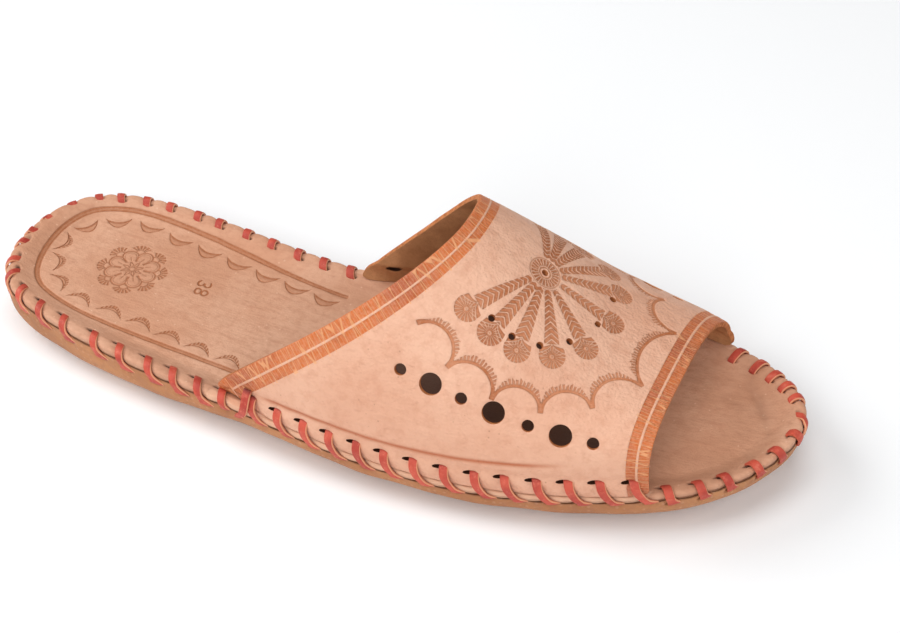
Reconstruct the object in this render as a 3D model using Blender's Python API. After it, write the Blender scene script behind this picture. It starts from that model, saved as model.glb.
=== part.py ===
"""A leather mule for the right foot: padded sole, insole, arched upper with round holes, lacing round the rim.

+X points to the toe, +Y to the inner side of the foot, +Z up.
The sole stands on Z = 0, and the origin is under the middle of the sole's outline.
"""

import math

import bmesh
import bpy
import numpy as np
from mathutils import Vector

# Sizes of the sole, in metres
SOLE_LENGTH = 0.2533
BALL_WIDTH = 0.0908
WAIST_WIDTH = 0.0716
HEEL_WIDTH = 0.0640
HEEL_HEIGHT = 0.0172
BALL_HEIGHT = 0.0122
TOE_HEIGHT = 0.0191
TOE_SPRING = 0.0060
HEEL_SPRING = 0.0015
ARCH_LIFT = 0.0012
HEEL_ROLL = 0.0080
BALL_ROLL = 0.0120
PAD_GROOVE_DEPTH = 0.0008
PAD_GROOVE_WIDTH = 0.0022

# Sizes of the insole
INSOLE_THICKNESS = 0.0022
INSOLE_DIP = 0.0025
INSOLE_FLANGE = 0.0020
INSOLE_SLOPE = 0.0080

# Sizes of the upper
UPPER_WALL = 0.0020
INSTEP_HEIGHT = 0.0704
TOE_OPENING_HEIGHT = 0.0364
BIG_HOLE = 0.0065
SMALL_HOLE = 0.0035

# Sizes of the lacing
LACE_WIDTH = 0.0033
LACE_THICKNESS = 0.0010
STITCH_PITCH = 0.0092
STITCH_ON_INSOLE = 0.0050
STITCH_UP_UPPER = 0.0070
STITCH_DOWN_SOLE = 0.0055
STITCH_SLANT = 0.0034
SEAM_STRIP_TOP = 0.0002
SEAM_STRIP_BOTTOM = 0.0030
LACE_CLEARANCE = 0.0005

# Gap between pieces that touch
CLEARANCE = 0.0003

# The sole's outline from above, from the heel end along the outer side to the toe and back.
# Columns: share of the length, share of the width named in the last column.
OUTLINE = (
    (0.000, 0.025, HEEL_WIDTH),
    (0.017, -0.306, HEEL_WIDTH),
    (0.090, -0.491, HEEL_WIDTH),
    (0.230, -0.542, WAIST_WIDTH),
    (0.386, -0.595, WAIST_WIDTH),
    (0.540, -0.510, BALL_WIDTH),
    (0.696, -0.482, BALL_WIDTH),
    (0.826, -0.387, BALL_WIDTH),
    (0.938, -0.231, BALL_WIDTH),
    (0.999, 0.051, BALL_WIDTH),
    (0.966, 0.281, BALL_WIDTH),
    (0.872, 0.425, BALL_WIDTH),
    (0.743, 0.489, BALL_WIDTH),
    (0.595, 0.439, BALL_WIDTH),
    (0.441, 0.405, WAIST_WIDTH),
    (0.284, 0.406, WAIST_WIDTH),
    (0.123, 0.484, HEEL_WIDTH),
    (0.030, 0.344, HEEL_WIDTH),
)

# Height of the rim. Columns: share of the length, shares of the heel, ball and toe heights.
RIM = (
    (0.000, 1.00, 0.00, 0.00),
    (0.237, 0.60, 0.40, 0.00),
    (0.514, 0.02, 0.98, 0.00),
    (0.751, 0.00, 1.00, 0.00),
    (1.000, 0.00, 0.00, 1.00),
)

# Where the underside lifts off the floor: shares of the length.
HEEL_FLAT_START = 0.10
ARCH_START = 0.30
ARCH_END = 0.58
TOE_FLAT_END = 0.77

# Where the upper's two open edges stand. Columns: shares of the length at the outer foot, the top and the
# inner foot, then how full the arch is, where 2 is an ellipse and more is squarer.
THROAT = (0.344, 0.607, 0.404, 2.00)
TOE_OPENING = (0.872, 0.869, 0.884, 3.00)

# How the throat edge sweeps forward as it rises, on the outer and the inner side; 1 is a straight line.
OUTER_SWEEP = 1.18
INNER_SWEEP = 0.853

# How far the top of the arch leans to the inner side, as a share of the ball width.
THROAT_LEAN = 0.029
TOE_LEAN = -0.086

# The top line of the upper. Columns: share of the way from throat to toe opening, share of the drop left.
CREST = (
    (0.00, 1.000),
    (0.33, 0.585),
    (0.67, 0.188),
    (1.00, 0.000),
)

# The row of round holes on each side. Columns: share of the way from throat to toe opening, diameter.
SIDE_HOLES = (
    (0.235, SMALL_HOLE),
    (0.325, BIG_HOLE),
    (0.417, SMALL_HOLE),
    (0.515, BIG_HOLE),
    (0.620, SMALL_HOLE),
    (0.720, BIG_HOLE),
    (0.820, SMALL_HOLE),
)
SIDE_HOLE_UP = 0.207

# How finely the surfaces are cut
RIM_POINTS = 96
ACROSS_CELLS = 4
ROLL_CELLS = 5
UPPER_CELLS_LONG = 20
UPPER_CELLS_ROUND = 36


def clear_scene():
    for item in list(bpy.data.objects):
        bpy.data.objects.remove(item, do_unlink=True)


def material(name, colour, roughness):
    mat = bpy.data.materials.new(name)
    mat.use_nodes = True
    shader = mat.node_tree.nodes["Principled BSDF"]
    shader.inputs["Base Color"].default_value = (*colour, 1.0)
    shader.inputs["Roughness"].default_value = roughness
    shader.inputs["Metallic"].default_value = 0.0
    return mat


def mix(first, second, share):
    return first + (second - first) * share


def smooth_step(value):
    value = np.clip(value, 0.0, 1.0)
    return value * value * (3.0 - 2.0 * value)


def spline(knots, values, closed=False):
    """A cubic curve through the values, as a function of the knots."""
    knots = np.asarray(knots, float)
    values = np.asarray(values, float)
    last = len(knots) - 1
    step = np.diff(knots)
    slope = np.diff(values, axis=0) / step.reshape(-1, *[1] * (values.ndim - 1))
    matrix = np.zeros((last + 1, last + 1))
    right = np.zeros_like(values)
    for i in range(1, last):
        matrix[i, i - 1 : i + 2] = step[i - 1], 2.0 * (step[i - 1] + step[i]), step[i]
        right[i] = 6.0 * (slope[i] - slope[i - 1])
    matrix[0, 0] = 1.0
    if closed:
        matrix[0, last] = -1.0
        matrix[last, :2] += 2.0 * step[0], step[0]
        matrix[last, -2:] += step[-1], 2.0 * step[-1]
        right[last] = 6.0 * (slope[0] - slope[-1])
    else:
        matrix[last, last] = 1.0
    bend = np.linalg.solve(matrix, right)

    def at(place):
        place = np.asarray(place, float)
        i = np.clip(np.searchsorted(knots, place, side="right") - 1, 0, last - 1)
        width = step[i]
        a = (knots[i + 1] - place) / width
        b = 1.0 - a
        if values.ndim > 1:
            a, b, width = a[..., None], b[..., None], width[..., None]
        curve = (a**3 - a) * bend[i] + (b**3 - b) * bend[i + 1]
        return a * values[i] + b * values[i + 1] + curve * width**2 / 6.0

    return at


def outline_curve():
    """The closed outline, as a function that runs 0 to 1 from the heel end round to the heel end."""
    rows = [(along * SOLE_LENGTH, across * width) for along, across, width in OUTLINE]
    rows.append(rows[0])
    return spline(np.linspace(0.0, 1.0, len(rows)), rows, closed=True)


outline = outline_curve()
DENSE_OUTLINE = outline(np.linspace(0.0, 1.0, 2881))
HALF = len(DENSE_OUTLINE) // 2
OUTER_SIDE = DENSE_OUTLINE[: HALF + 1]
INNER_SIDE = DENSE_OUTLINE[HALF:][::-1]
CENTRE = (DENSE_OUTLINE.min(axis=0) + DENSE_OUTLINE.max(axis=0)) / 2.0

rim_share = spline([row[0] for row in RIM], [row[1:] for row in RIM])
crest_share = spline([row[0] for row in CREST], [row[1] for row in CREST])


def rim_height(x):
    return rim_share(np.asarray(x) / SOLE_LENGTH) @ np.array((HEEL_HEIGHT, BALL_HEIGHT, TOE_HEIGHT))


def floor_gap(x):
    """Height of the underside over the floor: nothing under the heel and the ball."""
    share = np.asarray(x) / SOLE_LENGTH
    heel = HEEL_SPRING * np.clip(1.0 - share / HEEL_FLAT_START, 0.0, 1.0) ** 2
    toe = TOE_SPRING * np.clip((share - TOE_FLAT_END) / (1.0 - TOE_FLAT_END), 0.0, 1.1) ** 2
    arch = np.clip((share - ARCH_START) / (ARCH_END - ARCH_START), 0.0, 1.0)
    return heel + toe + ARCH_LIFT * np.sin(math.pi * arch) ** 2


def outer_y(x):
    return np.interp(x, OUTER_SIDE[:, 0], OUTER_SIDE[:, 1])


def inner_y(x):
    return np.interp(x, INNER_SIDE[:, 0], INNER_SIDE[:, 1])


def outline_frame(places):
    """Points of the outline and the directions that point out of it."""
    small = 1e-4
    ahead = outline(np.mod(places + small, 1.0)) - outline(np.mod(places - small, 1.0))
    ahead /= np.linalg.norm(ahead, axis=1)[:, None]
    out = np.stack([ahead[:, 1], -ahead[:, 0]], axis=1)
    return outline(np.mod(places, 1.0)), out


def insole_dip(inset):
    """How far the insole's top lies under the rim, at a distance in from its edge."""
    return INSOLE_DIP * smooth_step((inset - INSOLE_FLANGE) / INSOLE_SLOPE)


def roll_size(x):
    """How far in the sole's rounded edge reaches."""
    return mix(HEEL_ROLL, BALL_ROLL, smooth_step((x / SOLE_LENGTH - 0.15) / 0.45))


def wall_top(x):
    """Top of the sole's wall, under the insole's edge."""
    return rim_height(x) - INSOLE_THICKNESS - CLEARANCE


def wall_point(x, angle):
    """Inset and height of the sole's rounded edge, from upright at angle 0 to level at a right angle."""
    floor = floor_gap(x)
    roll = roll_size(x)
    rise = np.minimum(roll, wall_top(x) - floor - 0.0005)
    return roll * (1.0 - np.cos(angle)), floor + rise * (1.0 - np.sin(angle))


class Skin:
    """Collects points and faces of one closed body."""

    def __init__(self):
        self.points = []
        self.faces = []

    def add(self, points):
        start = len(self.points)
        self.points.extend(tuple(p) for p in np.asarray(points, float))
        return list(range(start, len(self.points)))

    def band(self, first, second, flip=False):
        """Faces between two closed rings."""
        count = len(first)
        for i in range(count):
            j = (i + 1) % count
            face = (first[i], first[j], second[j], second[i])
            self.faces.append(face[::-1] if flip else face)

    def ribs(self, ring, height, flip=False):
        """Closes a ring with ribs from the outer to the inner side; height gives each new point's level."""
        count = len(ring)
        half = count // 2
        rows = []
        for i in range(1, half):
            start = np.array(self.points[ring[i]])
            end = np.array(self.points[ring[count - i]])
            shares = np.linspace(0.0, 1.0, ACROSS_CELLS + 1)[1:-1, None]
            between = start + (end - start) * shares
            between[:, 2] = height(between[:, 0])
            rows.append([ring[i], *self.add(between), ring[count - i]])
        faces = []
        for here, there in zip(rows, rows[1:]):
            for j in range(ACROSS_CELLS):
                faces.append((here[j], there[j], there[j + 1], here[j + 1]))
        for j in range(ACROSS_CELLS):
            faces.append((ring[0], rows[0][j], rows[0][j + 1]))
            faces.append((ring[half], rows[-1][j + 1], rows[-1][j]))
        self.faces.extend(face[::-1] if flip else face for face in faces)

    def build(self, name, mat):
        """Makes the object, with the origin under the middle of the outline."""
        mesh = bpy.data.meshes.new(name)
        shift = Vector((CENTRE[0], CENTRE[1], 0.0))
        mesh.from_pydata([Vector(p) - shift for p in self.points], [], self.faces)
        mesh.materials.append(mat)
        edit = bmesh.new()
        edit.from_mesh(mesh)
        bmesh.ops.recalc_face_normals(edit, faces=edit.faces)
        edit.to_mesh(mesh)
        edit.free()
        mesh.shade_smooth()
        mesh.set_sharp_from_angle(angle=math.radians(50.0))
        item = bpy.data.objects.new(name, mesh)
        bpy.context.collection.objects.link(item)
        return item


def inset_ring(places, inset, height):
    """A ring inside the outline; inset and height are numbers or one for each point."""
    points, out = outline_frame(places)
    plan = points - out * np.broadcast_to(inset, len(points))[:, None]
    return np.column_stack([plan, height(plan[:, 0])])


def make_insole():
    """A sheet with a level flange at the rim and a shallow dish inside it."""
    skin = Skin()
    places = np.arange(RIM_POINTS) / RIM_POINTS
    insets = (0.0, INSOLE_FLANGE, INSOLE_FLANGE + INSOLE_SLOPE / 2.0, INSOLE_FLANGE + INSOLE_SLOPE)
    sides = []
    for drop, flip in ((0.0, False), (INSOLE_THICKNESS, True)):
        rings = [
            skin.add(inset_ring(places, inset, lambda x, d=drop + insole_dip(inset): rim_height(x) - d))
            for inset in insets
        ]
        for first, second in zip(rings, rings[1:]):
            skin.band(first, second, flip)
        skin.ribs(rings[-1], lambda x, d=drop + INSOLE_DIP: rim_height(x) - d, flip)
        sides.append(rings[0])
    skin.band(sides[1], sides[0])
    return skin.build("insole", material("insole_leather", (0.62, 0.36, 0.22), 0.6))


def make_sole():
    """The padded sole: dished top, wall, rounded edge, a pressed groove round the pad, flat underside."""
    skin = Skin()
    places = np.arange(RIM_POINTS) / RIM_POINTS
    rim_x = outline(places)[:, 0]
    insets = (0.0, INSOLE_FLANGE, INSOLE_FLANGE + INSOLE_SLOPE / 2.0, INSOLE_FLANGE + INSOLE_SLOPE)
    top = [
        skin.add(inset_ring(places, inset, lambda x, d=insole_dip(inset): wall_top(x) - d))
        for inset in insets
    ]
    for first, second in zip(top, top[1:]):
        skin.band(first, second)
    skin.ribs(top[-1], lambda x: wall_top(x) - INSOLE_DIP)

    below = [top[0]]
    for angle in np.linspace(0.0, math.pi / 2.0, ROLL_CELLS + 1):
        inset, height = wall_point(rim_x, angle)
        below.append(skin.add(inset_ring(places, inset, lambda x, h=height: h)))
    roll = roll_size(rim_x)
    groove = ((0.5, 0.0), (1.0, PAD_GROOVE_DEPTH), (1.5, 0.0))
    for widths, depth in groove:
        inset = roll + widths * PAD_GROOVE_WIDTH
        below.append(skin.add(inset_ring(places, inset, lambda x, d=depth: floor_gap(x) + d)))
    for first, second in zip(below, below[1:]):
        skin.band(first, second, flip=True)
    skin.ribs(below[-1], floor_gap, flip=True)
    return skin.build("sole", material("sole_leather", (0.55, 0.31, 0.19), 0.65))


def upper_surface(v, u):
    """The upper's outer face: v runs from throat to toe opening, u over the arch from outer to inner rim."""
    v, u = np.broadcast_arrays(np.asarray(v, float), np.asarray(u, float))
    side = -np.cos(math.pi * u)
    fullness = mix(THROAT[3], TOE_OPENING[3], v)
    across = np.sign(side) * np.abs(side) ** (2.0 / fullness)
    rise = np.abs(np.sin(math.pi * u)) ** (2.0 / fullness)
    rise = np.where((u <= 0.0) | (u >= 1.0), 0.0, rise)
    outer_foot, top, inner_foot = (mix(a, b, v) * SOLE_LENGTH for a, b in zip(THROAT[:3], TOE_OPENING[:3]))
    foot = np.where(side < 0.0, outer_foot, inner_foot)
    sweep = mix(np.where(side < 0.0, OUTER_SWEEP, INNER_SWEEP), 1.0, v)
    x = foot + (top - foot) * rise**sweep
    lean = mix(THROAT_LEAN, TOE_LEAN, v) * BALL_WIDTH
    y = mix(outer_y(x), inner_y(x), (across + 1.0) / 2.0) + lean * rise**2
    crest = mix(TOE_OPENING_HEIGHT, INSTEP_HEIGHT, crest_share(v))
    z = rim_height(x) + CLEARANCE + (crest - rim_height(top)) * rise
    return np.stack([x, y, z], axis=-1)


def upper_normal(v, u):
    """Direction out of the upper's outer face; level at the rim."""
    small = 1e-3
    along = upper_surface(v + small, u) - upper_surface(v - small, u)
    over = upper_surface(v, np.minimum(u + small, 1.0)) - upper_surface(v, np.maximum(u - small, 0.0))
    normal = np.cross(along, over)
    normal[..., 2] = np.where((u <= 0.0) | (u >= 1.0), 0.0, normal[..., 2])
    return normal / np.linalg.norm(normal, axis=-1)[..., None]


def upper_stand_out(x, inner, height):
    """How far the upper's face lies outside the outline, at a height over the rim on one side."""
    v = np.linspace(0.0, 1.0, 101)
    crest = mix(TOE_OPENING_HEIGHT, INSTEP_HEIGHT, crest_share(v))
    top = mix(THROAT[1], TOE_OPENING[1], v) * SOLE_LENGTH
    rise = height / (crest - rim_height(top))
    u = np.arcsin(rise ** (mix(THROAT[3], TOE_OPENING[3], v) / 2.0)) / math.pi
    face = upper_surface(v, 1.0 - u if inner else u)
    y = np.interp(x, face[:, 0], face[:, 1])
    return float(y - inner_y(x) if inner else outer_y(x) - y)


def make_upper():
    """One sheet of leather, arched from rim to rim, with a row of punched holes on each side."""
    skin = Skin()
    v = np.linspace(0.0, 1.0, UPPER_CELLS_LONG + 1)[:, None] + np.zeros((1, UPPER_CELLS_ROUND + 1))
    u = np.linspace(0.0, 1.0, UPPER_CELLS_ROUND + 1)[None, :] + np.zeros((UPPER_CELLS_LONG + 1, 1))
    outside = upper_surface(v, u)
    inside = outside - upper_normal(v, u) * UPPER_WALL
    shape = outside.shape[:2]
    faces = [np.array(skin.add(face.reshape(-1, 3))).reshape(shape) for face in (outside, inside)]
    for grid, flip in zip(faces, (False, True)):
        for i in range(UPPER_CELLS_LONG):
            for j in range(UPPER_CELLS_ROUND):
                face = (grid[i, j], grid[i + 1, j], grid[i + 1, j + 1], grid[i, j + 1])
                skin.faces.append(face[::-1] if flip else face)
    border = [(i, 0) for i in range(UPPER_CELLS_LONG)]
    border += [(UPPER_CELLS_LONG, j) for j in range(UPPER_CELLS_ROUND)]
    border += [(i, UPPER_CELLS_ROUND) for i in range(UPPER_CELLS_LONG, 0, -1)]
    border += [(0, j) for j in range(UPPER_CELLS_ROUND, 0, -1)]
    for here, there in zip(border, border[1:] + border[:1]):
        skin.faces.append((faces[0][there], faces[0][here], faces[1][here], faces[1][there]))
    upper = skin.build("upper", material("upper_leather", (0.84, 0.55, 0.38), 0.5))
    cut = upper.modifiers.new("holes", "BOOLEAN")
    cut.object = hole_cutter()
    cut.operation = "DIFFERENCE"
    cut.solver = "EXACT"
    return upper


def hole_cutter():
    """Punches that stand square to the upper, one for each hole."""
    edit = bmesh.new()
    for u in (SIDE_HOLE_UP, 1.0 - SIDE_HOLE_UP):
        for v, diameter in SIDE_HOLES:
            centre = upper_surface(v, u) - np.array([*CENTRE, 0.0])
            normal = upper_normal(np.float64(v), np.float64(u))
            turn = Vector(normal).to_track_quat("Z", "Y").to_matrix().to_4x4()
            turn.translation = Vector(centre - normal * UPPER_WALL / 2.0)
            bmesh.ops.create_cone(
                edit,
                cap_ends=True,
                segments=16 if diameter > SMALL_HOLE else 12,
                radius1=diameter / 2.0,
                radius2=diameter / 2.0,
                depth=UPPER_WALL * 4.0,
                matrix=turn,
            )
    mesh = bpy.data.meshes.new("hole_cutter")
    edit.to_mesh(mesh)
    edit.free()
    cutter = bpy.data.objects.new("hole_cutter", mesh)
    bpy.context.collection.objects.link(cutter)
    cutter.hide_render = True
    cutter.display_type = "WIRE"
    return cutter


class RimRun:
    """Distances along the outline, measured from the heel end past the outer side."""

    def __init__(self):
        steps = np.linalg.norm(np.diff(DENSE_OUTLINE, axis=0), axis=1)
        self.far = np.concatenate([[0.0], np.cumsum(steps)])
        self.share = np.linspace(0.0, 1.0, len(self.far))
        self.length = self.far[-1]

    def place(self, distance):
        return np.interp(np.mod(distance, self.length), self.far, self.share)

    def distance(self, x, inner):
        side = INNER_SIDE if inner else OUTER_SIDE
        index = int(np.abs(side[:, 0] - x).argmin())
        return self.far[2 * HALF - index] if inner else self.far[index]


def stitch_columns(rim):
    """Middle of each stitch along the rim, and whether it climbs the upper."""
    outer_start = rim.distance(THROAT[0] * SOLE_LENGTH, inner=False)
    outer_end = rim.distance(TOE_OPENING[0] * SOLE_LENGTH, inner=False)
    inner_end = rim.distance(TOE_OPENING[2] * SOLE_LENGTH, inner=True)
    inner_start = rim.distance(THROAT[2] * SOLE_LENGTH, inner=True)
    # the throat edge sweeps forward, so the first hole in the upper lies ahead of its foot
    ahead = STITCH_PITCH * 0.55
    runs = (
        (outer_start + ahead, outer_end, True),
        (outer_end, inner_end, False),
        (inner_end, inner_start - ahead, True),
        (inner_start, outer_start + rim.length, False),
    )
    columns = []
    for start, end, climbs in runs:
        count = round((end - start) / STITCH_PITCH)
        for i in range(count):
            columns.append((start + (i + 0.5) * (end - start) / count, climbs))
    return columns


def lace_path(x, inner, climbs):
    """The lace's inner face round the edge, from its upper to its lower end: offset out, height over the rim."""
    roll = roll_size(x)
    rise = min(roll, float(wall_top(x) - floor_gap(x)) - 0.0005)
    roll_start = float(rim_height(x) - floor_gap(x)) - rise
    down = max(0.0, STITCH_DOWN_SOLE - roll_start) / rise
    tuck = roll * (1.0 - math.sqrt(1.0 - down**2))
    if climbs:
        heights = (STITCH_UP_UPPER, STITCH_UP_UPPER / 2.0)
        upper_end = [(LACE_CLEARANCE + upper_stand_out(x, inner, height), height) for height in heights]
    else:
        reach = -STITCH_ON_INSOLE
        upper_end = [(reach, LACE_CLEARANCE - insole_dip(STITCH_ON_INSOLE) * 0.8), (0.0, LACE_CLEARANCE)]
    return upper_end + [
        (LACE_CLEARANCE, -SEAM_STRIP_TOP),
        (LACE_CLEARANCE, -SEAM_STRIP_BOTTOM),
        (LACE_CLEARANCE - tuck, -STITCH_DOWN_SOLE),
    ]


def path_normals(path):
    """Directions away from the slipper along the path."""
    points = np.array(path)
    ahead = np.gradient(points, axis=0)
    out = np.stack([-ahead[:, 1], ahead[:, 0]], axis=1)
    return out / np.linalg.norm(out, axis=1)[:, None]


def make_lacing():
    """Slanted stitches over the edge, joined by a narrow strip in the seam under the rim."""
    rim = RimRun()
    skin = Skin()
    strip = (2, 3)
    columns = []
    for middle, climbs in stitch_columns(rim):
        for edge in (-LACE_WIDTH / 2.0, LACE_WIDTH / 2.0):
            centre_x = float(outline(rim.place(middle))[0])
            path = lace_path(centre_x, middle > rim.length / 2.0, climbs)
            shift = np.linspace(-STITCH_SLANT / 2.0, STITCH_SLANT / 2.0, len(path))
            plan, out = outline_frame(rim.place(middle + edge + shift))
            normals = path_normals(path)
            rows = []
            for k, (offset, height) in enumerate(path):
                base = np.array([*plan[k], rim_height(plan[k, 0])])
                inner = base + np.array([*(out[k] * offset), height])
                away = np.array([*(out[k] * normals[k, 0]), normals[k, 1]])
                rows.append(skin.add([inner, inner + away * LACE_THICKNESS]))
            columns.append(rows)
    last_row = len(columns[0]) - 1
    cells = {}
    for c in range(len(columns)):
        rows = range(last_row) if c % 2 == 0 else (strip[0],)
        for r in rows:
            cells[c, r] = True
    count = len(columns)
    for c, r in cells:
        right = (c + 1) % count
        a, b, d, e = columns[c][r], columns[right][r], columns[right][r + 1], columns[c][r + 1]
        skin.faces.append((a[0], b[0], d[0], e[0]))
        skin.faces.append((e[1], d[1], b[1], a[1]))
        if (c, r - 1) not in cells:
            skin.faces.append((b[0], a[0], a[1], b[1]))
        if (c, r + 1) not in cells:
            skin.faces.append((e[0], d[0], d[1], e[1]))
        if ((c - 1) % count, r) not in cells:
            skin.faces.append((a[0], e[0], e[1], a[1]))
        if (right, r) not in cells:
            skin.faces.append((d[0], b[0], b[1], d[1]))
    return skin.build("lacing", material("lace_leather", (0.62, 0.16, 0.10), 0.55))


def main():
    clear_scene()
    make_sole()
    make_insole()
    make_upper()
    make_lacing()


main()
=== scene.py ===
"""Looks of a leather mule for the right foot: stamped and punched upper, stamped insole, padded sole, lacing.

The shapes repeat the part's own sizes. X runs from the heel end to the toe, +Y is the inner side of the foot,
and each finished mesh is moved so that the origin is under the middle of the outline.
"""

import functools
import math

import bmesh
import bpy
import numpy as np
from mathutils import Matrix, Vector


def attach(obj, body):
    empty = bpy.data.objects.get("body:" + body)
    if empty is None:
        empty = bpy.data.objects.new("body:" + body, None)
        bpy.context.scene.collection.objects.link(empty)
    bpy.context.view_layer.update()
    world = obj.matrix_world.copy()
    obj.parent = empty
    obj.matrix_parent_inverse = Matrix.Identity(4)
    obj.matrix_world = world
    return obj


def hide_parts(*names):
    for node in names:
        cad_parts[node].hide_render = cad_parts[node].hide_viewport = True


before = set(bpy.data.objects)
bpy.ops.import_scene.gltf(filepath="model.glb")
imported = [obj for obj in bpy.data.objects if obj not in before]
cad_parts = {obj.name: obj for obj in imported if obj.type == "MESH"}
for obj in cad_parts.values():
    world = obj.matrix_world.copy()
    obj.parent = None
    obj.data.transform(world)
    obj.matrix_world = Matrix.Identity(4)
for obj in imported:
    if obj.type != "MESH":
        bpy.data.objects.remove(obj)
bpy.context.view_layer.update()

MM = 0.001

# Sizes of the sole, in metres
SOLE_LENGTH = 0.2533
BALL_WIDTH = 0.0908
WAIST_WIDTH = 0.0716
HEEL_WIDTH = 0.0640
HEEL_HEIGHT = 0.0172
BALL_HEIGHT = 0.0122
TOE_HEIGHT = 0.0191
TOE_SPRING = 0.0060
HEEL_SPRING = 0.0015
ARCH_LIFT = 0.0012
HEEL_ROLL = 0.0080
BALL_ROLL = 0.0120
ROLL_CHANGE = (0.15, 0.60)

# Sizes of the insole
INSOLE_THICKNESS = 0.0022
INSOLE_DIP = 0.0025
INSOLE_FLANGE = 0.0020
INSOLE_SLOPE = 0.0080

# Sizes of the upper
UPPER_WALL = 0.0020
INSTEP_HEIGHT = 0.0704
TOE_OPENING_HEIGHT = 0.0364
BIG_HOLE = 0.0065
SMALL_HOLE = 0.0035

# Gaps between pieces that touch: upper and insole, insole and sole
CLEARANCE = 0.0003
SEAM_GAP = 0.0001

# The sole's outline from above, from the heel end along the outer side to the toe and back.
# Columns: share of the length, share of the width named in the last column.
OUTLINE = (
    (0.000, 0.025, HEEL_WIDTH),
    (0.017, -0.306, HEEL_WIDTH),
    (0.090, -0.491, HEEL_WIDTH),
    (0.230, -0.542, WAIST_WIDTH),
    (0.386, -0.595, WAIST_WIDTH),
    (0.540, -0.510, BALL_WIDTH),
    (0.696, -0.482, BALL_WIDTH),
    (0.826, -0.387, BALL_WIDTH),
    (0.938, -0.231, BALL_WIDTH),
    (0.999, 0.051, BALL_WIDTH),
    (0.966, 0.281, BALL_WIDTH),
    (0.872, 0.425, BALL_WIDTH),
    (0.743, 0.489, BALL_WIDTH),
    (0.595, 0.439, BALL_WIDTH),
    (0.441, 0.405, WAIST_WIDTH),
    (0.284, 0.406, WAIST_WIDTH),
    (0.123, 0.484, HEEL_WIDTH),
    (0.030, 0.344, HEEL_WIDTH),
)

# Height of the rim. Columns: share of the length, shares of the heel, ball and toe heights.
RIM = (
    (0.000, 1.00, 0.00, 0.00),
    (0.237, 0.60, 0.40, 0.00),
    (0.514, 0.02, 0.98, 0.00),
    (0.751, 0.00, 1.00, 0.00),
    (1.000, 0.00, 0.00, 1.00),
)

# Where the underside lifts off the floor: shares of the length.
HEEL_FLAT_START = 0.10
ARCH_START = 0.30
ARCH_END = 0.58
TOE_FLAT_END = 0.77

# Where the upper's two open edges stand: shares of the length at the outer foot, the top and the inner foot,
# then how full the arch is.
THROAT = (0.344, 0.607, 0.404, 2.00)
TOE_OPENING = (0.872, 0.869, 0.884, 3.00)
OUTER_SWEEP = 1.18
INNER_SWEEP = 0.853
THROAT_LEAN = 0.029
TOE_LEAN = -0.086

# The top line of the upper. Columns: share of the way from throat to toe opening, share of the drop left.
CREST = (
    (0.00, 1.000),
    (0.33, 0.585),
    (0.67, 0.188),
    (1.00, 0.000),
)

# The row of round holes on each side. Columns: share of the way from throat to toe opening, diameter.
SIDE_HOLES = (
    (0.235, SMALL_HOLE),
    (0.325, BIG_HOLE),
    (0.417, SMALL_HOLE),
    (0.515, BIG_HOLE),
    (0.620, SMALL_HOLE),
    (0.720, BIG_HOLE),
    (0.820, SMALL_HOLE),
)
SIDE_HOLE_UP = 0.207

# The stamped fan on the upper, in mm on the flat leather. Angles are in degrees round the fan's middle,
# 0 towards the toe and minus on the outer side. Columns: angle, distance of the cap's dot.
FAN_CENTRE = (0.338, 0.510)
FAN_RAYS = (
    (-117.0, 28.2),
    (-98.0, 27.2),
    (-79.2, 26.9),
    (-56.9, 26.1),
    (-31.8, 24.9),
    (1.9, 24.2),
    (32.5, 26.6),
    (53.4, 27.8),
    (75.0, 27.0),
    (92.5, 27.2),
    (109.5, 28.2),
)
FAN_HOLE = 1.05
FAN_HOLES = ((-103.6, 23.7), (-85.5, 23.9), (-66.0, 23.3), (-42.0, 21.7), (-8.7, 20.7), (24.6, 22.7))
BUTTON_RADIUS = 4.7
BUTTON_TICKS = 23
RAY_START = 5.6
RAY_HALF_START = 0.95
RAY_HALF_END = 2.2
CHEVRON_PITCH = 1.75
CHEVRON_SLOPE = 0.85
CAP_RADIUS = 3.9
CAP_NECK = 4.3
CAP_TICKS = 18

# The scalloped border round the fan. Cusps are on one circle, and each arc bulges towards the fan.
CUSP_ANGLES = (-121.0, -101.0, -80.5, -61.6, -42.5, -20.5, 13.6, 36.0, 54.7, 73.7, 94.2, 114.2)
CUSP_RADIUS = 41.8
ARC_REACH = 36.0
FRONT_ARC_REACH = 34.7
ARC_LINE = 1.0
ARC_TICK_LENGTH = 1.35
ARC_TICK_PITCH = 0.9

# The dyed bands along the throat and the toe opening: distances from the edge in mm.
THROAT_BAND = ((-0.5, 3.6), (4.3, 7.4))
TOE_BAND = ((-0.5, 3.1), (3.8, 6.4))

# The pressed line over the upper's foot: heights over the rim in mm, and where it starts and fades.
FOOT_LINE_HEIGHTS = (6.8, 12.0)
FOOT_LINE_ENDS = (0.08, 0.83)

# The insole's stamps, in mm. The border line: distance along the rim from the heel end (minus on the inner
# side), inset from the rim
BORDER_LINE = (
    (-121.0, 11.2),
    (-86.0, 8.2),
    (-53.0, 6.3),
    (-30.0, 5.7),
    (0.0, 7.4),
    (14.0, 8.6),
    (47.0, 9.4),
    (74.0, 11.8),
    (110.0, 13.8),
    (150.0, 13.8),
)
BORDER_LINE_WIDTH = 1.7

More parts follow.
